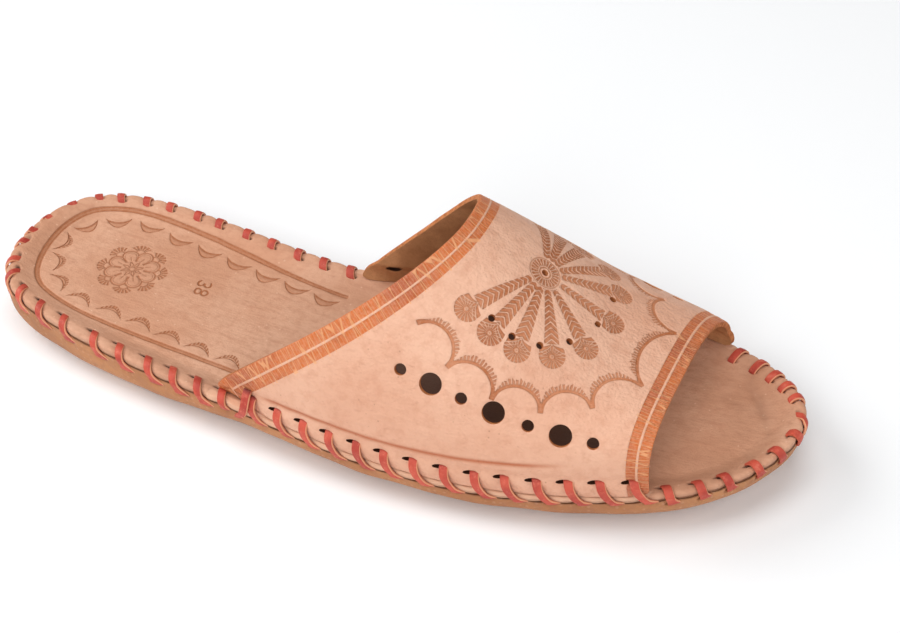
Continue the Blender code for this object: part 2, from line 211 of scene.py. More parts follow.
# The moons inside the border line, from tip to tip in mm; the last column is 1 where the belly has ticks
CRESCENTS = (
    (10.1, 9.7, 15.1, 16.6, 0),
    (17.3, 18.1, 25.1, 21.5, 0),
    (28.0, 21.8, 37.1, 21.9, 0),
    (39.5, 20.7, 48.8, 19.8, 0),
    (50.7, 19.4, 59.8, 18.7, 0),
    (61.8, 18.1, 71.1, 17.4, 0),
    (72.8, 16.7, 81.9, 16.1, 0),
    (83.5, 15.5, 93.1, 15.1, 0),
    (94.4, 14.2, 103.7, 14.2, 0),
    (9.4, 7.0, 9.6, -2.2, 1),
    (10.4, -3.6, 15.2, -11.6, 1),
    (15.4, -13.3, 22.8, -19.0, 1),
    (25.2, -20.0, 34.5, -21.5, 1),
    (36.6, -21.4, 46.2, -22.3, 1),
    (47.7, -22.4, 57.1, -23.4, 1),
    (58.7, -24.0, 68.2, -24.7, 1),
    (69.5, -24.9, 78.8, -25.8, 1),
    (80.5, -25.9, 89.6, -26.6, 1),
)
CRESCENT_BELLY = 4.5
CRESCENT_HOLLOW = (1.6, 2.3)
ROSETTE = (37.55, 0.0)
ROSETTE_SCALE = 1.06
SIZE_DIGITS = ((61.7, 3.3), (62.5, -0.5))
DIGIT_HEIGHT = 4.6
DIGIT_WIDTH = 2.7
DIGIT_STROKE = 0.55

# The stitches, one row for each stretch of the rim. Distances along the rim are measured in mm from the heel
# end past the outer side. Columns: the upper holes; how far over the rim they lie on the upper, or minus how
# far inside it on the insole, first and last; slant from the hole to the rim, first and last, and from the rim
# to the sole's slit; how far down that slit lies; and how far the strip's front edge runs on into it.
STITCH_ROWS = (
    ((-7.5, 0.1, 5.9, 14.9), -0.8, -2.5, 1.2, 3.0, 0.8, 4.6, 1.2),
    ((21.5, 31.0, 41.2, 51.7, 64.3, 74.2, 84.9, 93.9, 102.6), -3.2, -4.4, 4.2, 4.2, 1.7, 4.4, 2.2),
    ((111.6,), -4.2, -4.2, 3.6, 3.6, 0.8, 2.8, 0.5),
    ((125.4, 134.5, 143.3, 151.9, 160.8, 169.4), 3.9, 4.4, 1.8, 2.4, 1.3, 2.6, 1.3),
    ((178.4, 187.4, 196.4, 205.1, 214.1, 222.9, 231.7, 241.0), 4.5, 5.0, 2.6, 3.6, 1.3, 2.4, 1.3),
    ((250.4, 259.5, 267.6, 277.3, 285.9, 294.9), -3.2, -2.4, 1.2, 0.8, 0.9, 3.6, 0.8),
    ((305.6,), -1.9, -1.9, -4.6, -4.6, -1.4, 3.0, 0.6),
    ((311.8, 318.2, 324.6, 331.6, 340.2), -2.8, -4.6, 0.4, -0.6, -0.5, 3.8, 0.6),
    (tuple(353.0 + 8.35 * i for i in range(13)), 5.2, 5.2, -3.0, -1.5, -1.3, 2.6, 1.4),
    ((467.3, 476.6, 485.7, 495.5, 505.0, 515.6, 523.8, 534.3, 542.9, 552.1), -3.4, -2.6, 1.4, 0.8, -1.0, 4.4,
     1.2),
    ((559.9, 569.2), -1.3, -0.7, 0.6, 0.6, -0.4, 4.4, 1.0),
)

# The strip that crosses the first stitch of the upper: its hole, slants, height and drop
CROSSING = (123.6, -0.9, -2.0, 5.6, 3.9)
STRIP_WIDTH = 0.0027
STRIP_THICKNESS = 0.0007

# How finely the meshes are cut
UPPER_ROWS = 216
UPPER_COLUMNS = 356
INSOLE_ROWS = 420
SOLE_ROWS = 560


def mix(first, second, share):
    return first + (second - first) * share


def smooth_step(value):
    value = np.clip(value, 0.0, 1.0)
    return value * value * (3.0 - 2.0 * value)


def soft(value, edge=0.18):
    """1 where the value is above 0, and 0 where it is below, changing over a width in mm."""
    if isinstance(value, Wire):
        return value.stepped(-edge / 2.0, edge / 2.0)
    return smooth_step(value / edge + 0.5)


def pulse(phase, duty, pitch):
    """Repeats every 1 of phase: 1 in the middle share given by duty. The pitch in mm sets how soft it is."""
    place = np.abs(np.mod(phase, 1.0) - 0.5)
    return soft((duty / 2.0 - place) * pitch)


def near(distance, width):
    """A soft bump round 0."""
    return np.exp(-((distance / width) ** 2))


def most(*values):
    return functools.reduce(np.maximum, values)


class Wire(np.lib.mixins.NDArrayOperatorsMixin):
    """A value inside a material. It takes the same formulas as numbers do, so one stamp formula presses the
    mesh and colours the leather."""

    OPERATIONS = {
        "add": "ADD",
        "subtract": "SUBTRACT",
        "multiply": "MULTIPLY",
        "divide": "DIVIDE",
        "true_divide": "DIVIDE",
        "remainder": "FLOORED_MODULO",
        "power": "POWER",
        "absolute": "ABSOLUTE",
        "maximum": "MAXIMUM",
        "minimum": "MINIMUM",
        "exp": "EXPONENT",
        "sin": "SINE",
        "cos": "COSINE",
        "arctan2": "ARCTAN2",
        "sqrt": "SQRT",
    }

    def __init__(self, shader, socket):
        self.shader = shader
        self.socket = socket

    def __array_ufunc__(self, formula, method, *values, **settings):
        if formula.__name__ == "negative":
            return 0.0 - values[0]
        if formula.__name__ == "hypot":
            return np.sqrt(values[0] * values[0] + values[1] * values[1])
        sockets = [value.socket if isinstance(value, Wire) else float(value) for value in values]
        return Wire(self.shader, self.shader.maths(self.OPERATIONS[formula.__name__], *sockets))

    def stepped(self, low, high):
        return Wire(self.shader, self.shader.ranged(self.socket, low, high))

    def clip(self, low, high, out=None):
        return np.minimum(np.maximum(self, low), high)


def spline(knots, values, closed=False):
    """A cubic curve through the values, as a function of the knots."""
    knots = np.asarray(knots, float)
    values = np.asarray(values, float)
    last = len(knots) - 1
    step = np.diff(knots)
    slope = np.diff(values, axis=0) / step.reshape(-1, *[1] * (values.ndim - 1))
    matrix = np.zeros((last + 1, last + 1))
    right = np.zeros_like(values)
    for i in range(1, last):
        matrix[i, i - 1 : i + 2] = step[i - 1], 2.0 * (step[i - 1] + step[i]), step[i]
        right[i] = 6.0 * (slope[i] - slope[i - 1])
    matrix[0, 0] = 1.0
    if closed:
        matrix[0, last] = -1.0
        matrix[last, :2] += 2.0 * step[0], step[0]
        matrix[last, -2:] += step[-1], 2.0 * step[-1]
        right[last] = 6.0 * (slope[0] - slope[-1])
    else:
        matrix[last, last] = 1.0
    bend = np.linalg.solve(matrix, right)

    def at(place):
        place = np.asarray(place, float)
        i = np.clip(np.searchsorted(knots, place, side="right") - 1, 0, last - 1)
        width = step[i]
        a = (knots[i + 1] - place) / width
        b = 1.0 - a
        if values.ndim > 1:
            a, b, width = a[..., None], b[..., None], width[..., None]
        curve = (a**3 - a) * bend[i] + (b**3 - b) * bend[i + 1]
        return a * values[i] + b * values[i + 1] + curve * width**2 / 6.0

    return at


def outline_curve():
    """The closed outline, as a function that runs 0 to 1 from the heel end round to the heel end."""
    rows = [(along * SOLE_LENGTH, across * width) for along, across, width in OUTLINE]
    rows.append(rows[0])
    return spline(np.linspace(0.0, 1.0, len(rows)), rows, closed=True)


outline = outline_curve()
DENSE_OUTLINE = outline(np.linspace(0.0, 1.0, 2881))
HALF = len(DENSE_OUTLINE) // 2
OUTER_SIDE = DENSE_OUTLINE[: HALF + 1]
INNER_SIDE = DENSE_OUTLINE[HALF:][::-1]
CENTRE = (DENSE_OUTLINE.min(axis=0) + DENSE_OUTLINE.max(axis=0)) / 2.0

rim_share = spline([row[0] for row in RIM], [row[1:] for row in RIM])
crest_share = spline([row[0] for row in CREST], [row[1] for row in CREST])


def rim_height(x):
    return rim_share(np.asarray(x) / SOLE_LENGTH) @ np.array((HEEL_HEIGHT, BALL_HEIGHT, TOE_HEIGHT))


def floor_gap(x):
    """Height of the underside over the floor: nothing under the heel and the ball."""
    share = np.asarray(x) / SOLE_LENGTH
    heel = HEEL_SPRING * np.clip(1.0 - share / HEEL_FLAT_START, 0.0, 1.0) ** 2
    toe = TOE_SPRING * np.clip((share - TOE_FLAT_END) / (1.0 - TOE_FLAT_END), 0.0, 1.1) ** 2
    arch = np.clip((share - ARCH_START) / (ARCH_END - ARCH_START), 0.0, 1.0)
    return heel + toe + ARCH_LIFT * np.sin(math.pi * arch) ** 2


def outer_y(x):
    return np.interp(x, OUTER_SIDE[:, 0], OUTER_SIDE[:, 1])


def inner_y(x):
    return np.interp(x, INNER_SIDE[:, 0], INNER_SIDE[:, 1])


def outline_frame(places):
    """Points of the outline and the directions that point out of it."""
    small = 1e-4
    ahead = outline(np.mod(places + small, 1.0)) - outline(np.mod(places - small, 1.0))
    ahead /= np.linalg.norm(ahead, axis=-1)[..., None]
    out = np.stack([ahead[..., 1], -ahead[..., 0]], axis=-1)
    return outline(np.mod(places, 1.0)), out


def insole_dip(inset):
    """How far the insole's top lies under the rim, at a distance in from its edge."""
    return INSOLE_DIP * smooth_step((inset - INSOLE_FLANGE) / INSOLE_SLOPE)


def roll_size(x):
    """How far in the sole's rounded edge reaches."""
    start, end = ROLL_CHANGE
    return mix(HEEL_ROLL, BALL_ROLL, smooth_step((x / SOLE_LENGTH - start) / (end - start)))


def wall_top(x):
    """Top of the sole's wall, under the insole's edge."""
    return rim_height(x) - INSOLE_THICKNESS - SEAM_GAP


def upper_surface(v, u):
    """The upper's outer face: v runs from throat to toe opening, u over the arch from outer to inner rim."""
    v, u = np.broadcast_arrays(np.asarray(v, float), np.asarray(u, float))
    side = -np.cos(math.pi * u)
    fullness = mix(THROAT[3], TOE_OPENING[3], v)
    across = np.sign(side) * np.abs(side) ** (2.0 / fullness)
    rise = np.abs(np.sin(math.pi * u)) ** (2.0 / fullness)
    rise = np.where((u <= 0.0) | (u >= 1.0), 0.0, rise)
    outer_foot, top, inner_foot = (mix(a, b, v) * SOLE_LENGTH for a, b in zip(THROAT[:3], TOE_OPENING[:3]))
    foot = np.where(side < 0.0, outer_foot, inner_foot)
    sweep = mix(np.where(side < 0.0, OUTER_SWEEP, INNER_SWEEP), 1.0, v)
    x = foot + (top - foot) * rise**sweep
    lean = mix(THROAT_LEAN, TOE_LEAN, v) * BALL_WIDTH
    y = mix(outer_y(x), inner_y(x), (across + 1.0) / 2.0) + lean * rise**2
    crest = mix(TOE_OPENING_HEIGHT, INSTEP_HEIGHT, crest_share(v))
    z = rim_height(x) + CLEARANCE + (crest - rim_height(top)) * rise
    return np.stack([x, y, z], axis=-1)


def upper_slopes(v, u):
    """How the upper's outer face moves with v and with u."""
    small = 1e-3
    along = upper_surface(v + small, u) - upper_surface(v - small, u)
    low = np.maximum(u - small, 0.0)
    high = np.minimum(u + small, 1.0)
    over = (upper_surface(v, high) - upper_surface(v, low)) / (high - low)[..., None]
    return along / (2.0 * small), over


def upper_normal(v, u):
    """Direction out of the upper's outer face; level at the rim."""
    normal = np.cross(*upper_slopes(v, u))
    normal[..., 2] = np.where((u <= 0.0) | (u >= 1.0), 0.0, normal[..., 2])
    return normal / np.linalg.norm(normal, axis=-1)[..., None]


def upper_side_curve(inner, height):
    """Points of the upper's face at one height over the rim, with their v and u."""
    v = np.linspace(0.0, 1.0, 201)
    crest = mix(TOE_OPENING_HEIGHT, INSTEP_HEIGHT, crest_share(v))
    top = mix(THROAT[1], TOE_OPENING[1], v) * SOLE_LENGTH
    rise = max(height, 1e-6) / (crest - rim_height(top))
    u = np.arcsin(rise ** (mix(THROAT[3], TOE_OPENING[3], v) / 2.0)) / math.pi
    u = 1.0 - u if inner else u
    return v, u, upper_surface(v, u)


def upper_stand_out(x, inner, height):
    """How far the upper's face lies outside the outline, at a height over the rim on one side."""
    _, _, face = upper_side_curve(inner, height)
    y = np.interp(x, face[:, 0], face[:, 1])
    return float(y - inner_y(x) if inner else outer_y(x) - y)


class RimRun:
    """Distances along the outline, measured from the heel end past the outer side."""

    def __init__(self):
        steps = np.linalg.norm(np.diff(DENSE_OUTLINE, axis=0), axis=1)
        self.far = np.concatenate([[0.0], np.cumsum(steps)])
        self.share = np.linspace(0.0, 1.0, len(self.far))
        self.length = self.far[-1]

    def place(self, distance):
        return np.interp(np.mod(distance, self.length), self.far, self.share)

    def distance(self, x, inner):
        side = INNER_SIDE if inner else OUTER_SIDE
        index = int(np.abs(side[:, 0] - x).argmin())
        return self.far[2 * HALF - index] if inner else self.far[index]


rim = RimRun()


def stitch_table():
    """Each stitch: runs of its hole, its place on the rim and its slit, height or minus inset of the hole,
    drop of the slit, length of its tail, and whether it is on the inner side; all in metres."""
    stitches = []
    for holes, top_a, top_b, lean_a, lean_b, lower, down, tail in STITCH_ROWS:
        for hole, share in zip(holes, np.linspace(0.0, 1.0, len(holes))):
            edge = hole + mix(lean_a, lean_b, share)
            row = (hole, edge, edge + lower, mix(top_a, top_b, share), down, tail)
            stitches.append((*(value * MM for value in row), hole > 295.0))
    return stitches


STITCHES = stitch_table()


def rim_gap(run, other):
    """Distance along the rim between places, the short way round."""
    gap = np.mod(run - other + rim.length / 2.0, rim.length) - rim.length / 2.0
    return gap


def graded(count, knots, weights):
    """Shares from 0 to 1, closer together where the weight is higher."""
    fine = np.linspace(0.0, 1.0, 2001)
    middle = (fine[1:] + fine[:-1]) / 2.0
    total = np.concatenate([[0.0], np.cumsum(np.interp(middle, knots, weights))])
    return np.interp(np.linspace(0.0, total[-1], count + 1), total, fine)


def ripple(points, length, seed):
    """Soft uneven waves over the points, between -1 and 1, about one length apart."""
    rng = np.random.default_rng(seed)
    total = np.zeros(points.shape[:-1])
    for _ in range(7):
        direction = rng.normal(size=3)
        direction *= 2.0 * math.pi / length / np.linalg.norm(direction) * rng.uniform(0.6, 1.4)
        total += np.sin(points @ direction + rng.uniform(0.0, 2.0 * math.pi))
    return total / 4.0


def follow(points, curve):
    """For each point, how far along the curve its nearest place is, and how far off it lies."""
    steps = np.diff(curve, axis=0)
    run = np.concatenate([[0.0], np.cumsum(np.linalg.norm(steps, axis=1))])
    ahead = np.gradient(curve, axis=0)
    ahead /= np.linalg.norm(ahead, axis=1)[:, None]
    along = np.empty(len(points))
    off = np.empty(len(points))
    for start in range(0, len(points), 4000):
        part = points[start : start + 4000]
        nearest = np.linalg.norm(part[:, None] - curve[None], axis=2).argmin(axis=1)
        away = part - curve[nearest]
        slip = (away * ahead[nearest]).sum(axis=1)
        slip = np.where(nearest == 0, np.maximum(slip, 0.0), slip)
        slip = np.where(nearest == len(curve) - 1, np.minimum(slip, 0.0), slip)
        along[start : start + 4000] = run[nearest] + slip
        off[start : start + 4000] = np.linalg.norm(away - ahead[nearest] * slip[:, None], axis=1)
    return along, off


class Body:
    """Collects points, faces, a material number for each face and soft masks for each point."""

    # the dark mask is painted shade in holes, slits, seams, creases, strip ends and hidden faces; on the insole's
    # side it is partly that side's duller tone
    MASKS = ("stamp", "band", "light", "dark")
    PLACES = ("flat", "ray", "arc", "edge")

    def __init__(self):
        self.points = []
        self.masks = []
        self.places = []
        self.faces = []
        self.slots = []
        self.count = 0

    def add(self, points, **fields):
        """Adds a grid of points and gives their numbers in the same shape."""
        points = np.asarray(points, float)
        shape = points.shape[:-1]
        self.points.append(points.reshape(-1, 3))
        rows = [np.broadcast_to(fields.get(name, 0.0), shape).ravel() for name in self.MASKS]
        self.masks.append(np.stack(rows, axis=1))
        rows = [np.broadcast_to(fields.get(name, 0.0), (*shape, 3)).reshape(-1, 3) for name in self.PLACES]
        self.places.append(np.stack(rows, axis=1))
        numbers = np.arange(self.count, self.count + len(self.points[-1]))
        self.count += len(numbers)
        return numbers.reshape(shape)

    def grid(self, numbers, slot=0, flip=False, kept=None):
        """Four-sided faces over a grid of point numbers; repeated numbers make triangles."""
        quads = np.stack([numbers[:-1, :-1], numbers[1:, :-1], numbers[1:, 1:], numbers[:-1, 1:]], axis=-1)
        quads = quads.reshape(-1, 4) if kept is None else quads[kept]
        self.quads(quads[:, ::-1] if flip else quads, slot)

    def quads(self, quads, slot=0):
        for quad in quads.tolist():
            face = [number for k, number in enumerate(quad) if number != quad[k - 1]]
            if len(face) > 2:
                self.faces.append(face)
                self.slots.append(slot)

    def build(self, name, materials, sharp=50.0):
        """Makes the object, without unused points, in the frame of the part."""
        points = np.concatenate(self.points) - np.array([*CENTRE, 0.0])
        masks = np.concatenate(self.masks)
        places = np.concatenate(self.places)
        used = np.unique(np.concatenate([np.array(face) for face in self.faces]))
        new_number = np.zeros(self.count, int)
        new_number[used] = np.arange(len(used))
        mesh = bpy.data.meshes.new(name)
        mesh.from_pydata(points[used].tolist(), [], [new_number[face].tolist() for face in self.faces])
        for number, mask in enumerate(self.MASKS):
            layer = mesh.attributes.new(mask, "FLOAT", "POINT")
            layer.data.foreach_set("value", np.clip(masks[used, number], 0.0, 1.0).astype(np.float32))
        for number, place in enumerate(self.PLACES):
            if np.any(places[:, number]):
                layer = mesh.attributes.new(place, "FLOAT_VECTOR", "POINT")
                layer.data.foreach_set("vector", places[used, number].astype(np.float32).ravel())
        for material in materials:
            mesh.materials.append(material)
        mesh.polygons.foreach_set("material_index", self.slots)
        mesh.shade_smooth()
        mesh.set_sharp_from_angle(angle=math.radians(sharp))
        piece = bpy.data.objects.new(name, mesh)
        bpy.context.collection.objects.link(piece)
        self.new_number = new_number
        return piece


def linear(red, green, blue):
    """A colour given as it looks on a screen, 0 to 255."""
    values = np.array([red, green, blue]) / 255.0
    values = np.where(values <= 0.04045, values / 12.92, ((values + 0.055) / 1.055) ** 2.4)
    return (*values.tolist(), 1.0)


class Shader:
    """Short ways to join the nodes of one material."""

    def __init__(self, name, roughness, specular=0.3):
        self.material = bpy.data.materials.new(name)
        self.material.use_nodes = True
        self.tree = self.material.node_tree
        self.surface = self.tree.nodes["Principled BSDF"]
        self.surface.inputs["Roughness"].default_value = roughness
        self.surface.inputs["Specular IOR Level"].default_value = specular
        self.place = self.node("ShaderNodeTexCoord").outputs["Object"]

    def node(self, kind, **settings):
        node = self.tree.nodes.new(kind)
        for name, value in settings.items():
            setattr(node, name, value)
        return node

    def link(self, source, target):
        self.tree.links.new(source, target)

    def stretched(self, factors, turn=0.0):
        """The place, with each axis stretched and turned about Z."""
        node = self.node("ShaderNodeMapping")
        node.inputs["Scale"].default_value = factors
        node.inputs["Rotation"].default_value = (0.0, 0.0, turn)
        self.link(self.place, node.inputs["Vector"])
        return node.outputs["Vector"]

    def noise(self, scale, detail=4.0, roughness=0.55, place=None):
        node = self.node("ShaderNodeTexNoise")
        node.inputs["Scale"].default_value = scale
        node.inputs["Detail"].default_value = detail
        node.inputs["Roughness"].default_value = roughness
        self.link(place or self.place, node.inputs["Vector"])
        return node.outputs["Fac"]

    def cells(self, scale, randomness=1.0, place=None):
        node = self.node("ShaderNodeTexVoronoi")
        node.inputs["Scale"].default_value = scale
        node.inputs["Randomness"].default_value = randomness
        self.link(place or self.place, node.inputs["Vector"])
        return node.outputs["Distance"]

    def ranged(self, value, low, high, to_low=0.0, to_high=1.0):
        node = self.node("ShaderNodeMapRange", interpolation_type="SMOOTHSTEP")
        node.inputs["From Min"].default_value = low
        node.inputs["From Max"].default_value = high
        node.inputs["To Min"].default_value = to_low
        node.inputs["To Max"].default_value = to_high
        self.link(value, node.inputs["Value"])
        return node.outputs["Result"]

    def mask(self, name):
        return self.node("ShaderNodeAttribute", attribute_name=name).outputs["Fac"]

    def measures(self, name):
        """The three values that each point carries under a name."""
        attribute = self.node("ShaderNodeAttribute", attribute_name=name)
        split = self.node("ShaderNodeSeparateXYZ")
        self.link(attribute.outputs["Vector"], split.inputs["Vector"])
        return [Wire(self, socket) for socket in split.outputs]

    def cracks(self, along, off, step, width):
        """Thin uneven lines that cross a band."""
        joined = self.node("ShaderNodeCombineXYZ")
        self.link((along / step).socket, joined.inputs["X"])
        self.link((off / (step * 8.0)).socket, joined.inputs["Y"])
        node = self.node("ShaderNodeTexVoronoi", feature="DISTANCE_TO_EDGE", voronoi_dimensions="2D")
        node.inputs["Scale"].default_value = 1.0
        self.link(joined.outputs["Vector"], node.inputs["Vector"])
        return Wire(self, self.ranged(node.outputs["Distance"], width / step, 0.4 * width / step))

    def maths(self, operation, *values):
        node = self.node("ShaderNodeMath", operation=operation)
        for socket, value in zip(node.inputs, values):
            if isinstance(value, (int, float)):
                socket.default_value = value
            else:
                self.link(value, socket)
        return node.outputs["Value"]

    def blend(self, first, second, share, kind="MIX"):
        """Mixes two colours; each may be a colour or a socket, and the share a number or a socket."""
        node = self.node("ShaderNodeMix", data_type="RGBA", blend_type=kind)
        share_socket, first_socket, second_socket = (node.inputs[k] for k in (0, 6, 7))
        for socket, value in ((share_socket, share), (first_socket, first), (second_socket, second)):
            if isinstance(value, bpy.types.NodeSocket):
                self.link(value, socket)
            else:
                socket.default_value = value
        return node.outputs[2]

    def bump(self, height, distance, strength=1.0, under=None):
        node = self.node("ShaderNodeBump")
        node.inputs["Distance"].default_value = distance
        node.inputs["Strength"].default_value = strength
        self.link(height, node.inputs["Height"])
        if under is not None:
            self.link(under, node.inputs["Normal"])
        return node.outputs["Normal"]

    def finish(self, colour, normal, roughness=None):
        self.link(colour, self.surface.inputs["Base Color"])
        self.link(normal, self.surface.inputs["Normal"])
        if roughness is not None:
            self.link(roughness, self.surface.inputs["Roughness"])
        return self.material


def grain_bump(shader, grain, pores, depth, under=None):
    """Fine leather grain: uneven cells under a softer noise."""
    fine = shader.noise(grain, 6.0, 0.65)
    cells = shader.cells(pores)
    height = shader.maths("ADD", fine, shader.maths("MULTIPLY", cells, 0.6))
    return shader.bump(height, depth, under=under)


def upper_leather():
    """Pale veg-tanned leather with darker stamps and orange-brown dyed bands."""
    shader = Shader("upper_grain", 0.55, 0.35)
    x, y, _ = shader.measures("flat")
    stamp = most(fan_stamp(x, y, *shader.measures("ray")), scallop_stamp(*shader.measures("arc")))
    run, off, at_toe = shader.measures("edge")
    dye = mix(band_dye(run, off, THROAT_BAND), band_dye(run, off, TOE_BAND), at_toe)
    cracks = shader.cracks(run * mix(1.0, 1.7, at_toe), off, 2.4, 0.17) * soft(off - 0.2)
    cracks = cracks * soft(mix(8.0, 6.9, at_toe) - off)
    press = stamp + 0.6 * dye * (1.0 - cracks)
    cloud = shader.ranged(shader.noise(28.0, 3.0), 0.32, 0.68)
    colour = shader.blend(linear(238, 187, 158), linear(228, 172, 142), cloud)
    mottle = shader.ranged(shader.noise(300.0, 5.0, 0.6), 0.42, 0.72)
    colour = shader.blend(colour, linear(214, 152, 122), shader.maths("MULTIPLY", mottle, 0.5))
    fleck = shader.ranged(shader.cells(420.0), 0.16, 0.03)
    patchy = shader.ranged(shader.noise(60.0, 2.0), 0.45, 0.62)
    fleck = shader.maths("MULTIPLY", fleck, shader.maths("MULTIPLY", patchy, 0.5))
    colour = shader.blend(colour, linear(160, 104, 74), fleck)
    worn = shader.ranged(shader.noise(900.0, 4.0, 0.7), 0.35, 0.65, 0.78, 1.0)
    depth = shader.ranged(shader.noise(40.0, 2.0), 0.35, 0.65)
    pressed = shader.blend(linear(202, 128, 86), linear(180, 104, 60), depth)
    colour = shader.blend(colour, pressed, shader.maths("MULTIPLY", stamp.socket, worn))
    colour = shader.blend(colour, linear(190, 108, 70), shader.mask("band"))
    dark_dye = shader.ranged(shader.noise(55.0, 4.0), 0.38, 0.66)
    dye_colour = shader.blend(linear(212, 110, 46), linear(180, 86, 44), dark_dye)
    colour = shader.blend(colour, dye_colour, shader.maths("MULTIPLY", dye.socket, worn))
    colour = shader.blend(colour, linear(238, 172, 122), (cracks * 0.7).socket)
    creased = shader.bump(shader.noise(300.0, 5.0, 0.62, shader.stretched((0.6, 1.0, 1.0), -0.4)), 0.0007)
    grained = grain_bump(shader, 1300.0, 1000.0, 0.00028, creased)
    return shader.finish(colour, shader.bump((0.0 - press).socket, 0.00025, under=grained))


def suede(name, light, dark, depth=0.00022):
    """The rough side of leather."""
    shader = Shader(name, 0.92, 0.1)
    cloud = shader.ranged(shader.noise(70.0, 5.0, 0.6), 0.3, 0.7)
    colour = shader.blend(light, dark, cloud)
    fibre = shader.noise(1500.0, 6.0, 0.75, shader.stretched((1.0, 0.5, 1.0), 0.5))
    colour = shader.blend(colour, dark, shader.ranged(fibre, 0.45, 0.75, 0.0, 0.6))
    # painted shade: the dark mask darkens the back where the slits are cut
    colour = shader.blend(colour, linear(40, 22, 12), shader.mask("dark"))
    return shader.finish(colour, shader.bump(fibre, depth))


def insole_leather():
    """Tan leather with faint lengthwise wrinkles and pressed stamps."""
    shader = Shader("insole_grain", 0.6, 0.3)
    x, y, _ = shader.measures("flat")
    run, off_line, _ = shader.measures("edge")
    stamp = insole_stamp(x, y, run, off_line, *shader.measures("arc"))
    cloud = shader.ranged(shader.noise(30.0, 4.0), 0.3, 0.7)
    colour = shader.blend(linear(220, 170, 140), linear(206, 150, 118), cloud)
    streaks = shader.noise(560.0, 6.0, 0.68, shader.stretched((0.22, 1.0, 1.0), -0.22))
    colour = shader.blend(colour, linear(184, 126, 96), shader.ranged(streaks, 0.44, 0.74, 0.0, 0.42))
    mottle = shader.ranged(shader.noise(420.0, 5.0, 0.65), 0.42, 0.72)
    colour = shader.blend(colour, linear(192, 134, 104), shader.maths("MULTIPLY", mottle, 0.45))
    fleck = shader.ranged(shader.cells(300.0), 0.13, 0.02)
    colour = shader.blend(colour, linear(238, 198, 168), shader.maths("MULTIPLY", fleck, 0.6))
    worn = shader.ranged(shader.noise(900.0, 4.0, 0.7), 0.35, 0.65, 0.75, 1.0)
    colour = shader.blend(colour, linear(168, 100, 60), shader.maths("MULTIPLY", stamp.socket, worn))
    colour = shader.blend(colour, linear(234, 184, 152), shader.mask("light"))
    # painted shade: the dark mask darkens stitch holes, toe creases, the leather under the upper and the hidden
    # underside
    colour = shader.blend(colour, linear(42, 20, 12), shader.mask("dark"))
    wrinkles = shader.bump(streaks, 0.0003)
    fine = shader.bump(shader.noise(1200.0, 6.0, 0.7), 0.0002, under=wrinkles)
    return shader.finish(colour, shader.bump((0.0 - stamp).socket, 0.00022, under=fine))


def sole_leather():
    """Tan-brown leather, with a faint regular dotted grain and soft wrinkles."""
    shader = Shader("sole_grain", 0.62, 0.3)
    cloud = shader.ranged(shader.noise(34.0, 5.0), 0.3, 0.7)
    colour = shader.blend(linear(197, 137, 92), linear(169, 111, 71), cloud)
    mottle = shader.ranged(shader.noise(330.0, 5.0, 0.65), 0.4, 0.75)
    colour = shader.blend(colour, linear(164, 108, 80), shader.maths("MULTIPLY", mottle, 0.5))
    dots = shader.ranged(shader.cells(420.0, 0.25), 0.32, 0.1)
    colour = shader.blend(colour, linear(228, 178, 146), shader.maths("MULTIPLY", dots, 0.22))
    colour = shader.blend(colour, linear(150, 92, 62), shader.mask("stamp"))
    colour = shader.blend(colour, linear(230, 182, 146), shader.mask("light"))
    # painted shade: the dark mask darkens the slits, the seam under the insole and the hidden top
    colour = shader.blend(colour, linear(58, 32, 20), shader.mask("dark"))
    wrinkles = shader.bump(shader.noise(240.0, 5.0, 0.6), 0.0005)
    normal = shader.bump(dots, 0.00012, under=wrinkles)
    return shader.finish(colour, shader.bump(shader.noise(1600.0, 5.0, 0.65), 0.0001, under=normal))


def raw_edge(name):
    """Cut edge of leather."""
    shader = Shader(name, 0.8, 0.15)
    grain = shader.noise(700.0, 6.0, 0.7)
    colour = shader.blend(linear(206, 132, 82), linear(160, 94, 56), shader.ranged(grain, 0.35, 0.7))
    # painted shade: the dark mask darkens the cut sides inside the slits
    colour = shader.blend(colour, linear(40, 20, 12), shader.mask("dark"))
    return shader.finish(colour, shader.bump(grain, 0.0002))


def lace_leather():
    """Red dyed leather strip, worn lighter, with raw tan edges."""
    shader = Shader("lace_dye", 0.5, 0.4)
    cloud = shader.ranged(shader.noise(120.0, 4.0), 0.35, 0.65)
    colour = shader.blend(linear(206, 84, 62), linear(178, 62, 48), cloud)
    scuff = shader.ranged(shader.noise(600.0, 5.0, 0.7), 0.5, 0.72)
    colour = shader.blend(colour, linear(222, 122, 96), shader.maths("MULTIPLY", scuff, 0.6))
    colour = shader.blend(colour, linear(230, 176, 132), shader.mask("light"))
    # painted shade at the strip's ends, where it goes into its hole and its slit
    colour = shader.blend(colour, linear(60, 22, 16), shader.mask("dark"))
    return shader.finish(colour, shader.bump(shader.noise(1500.0, 6.0, 0.7), 0.00015))


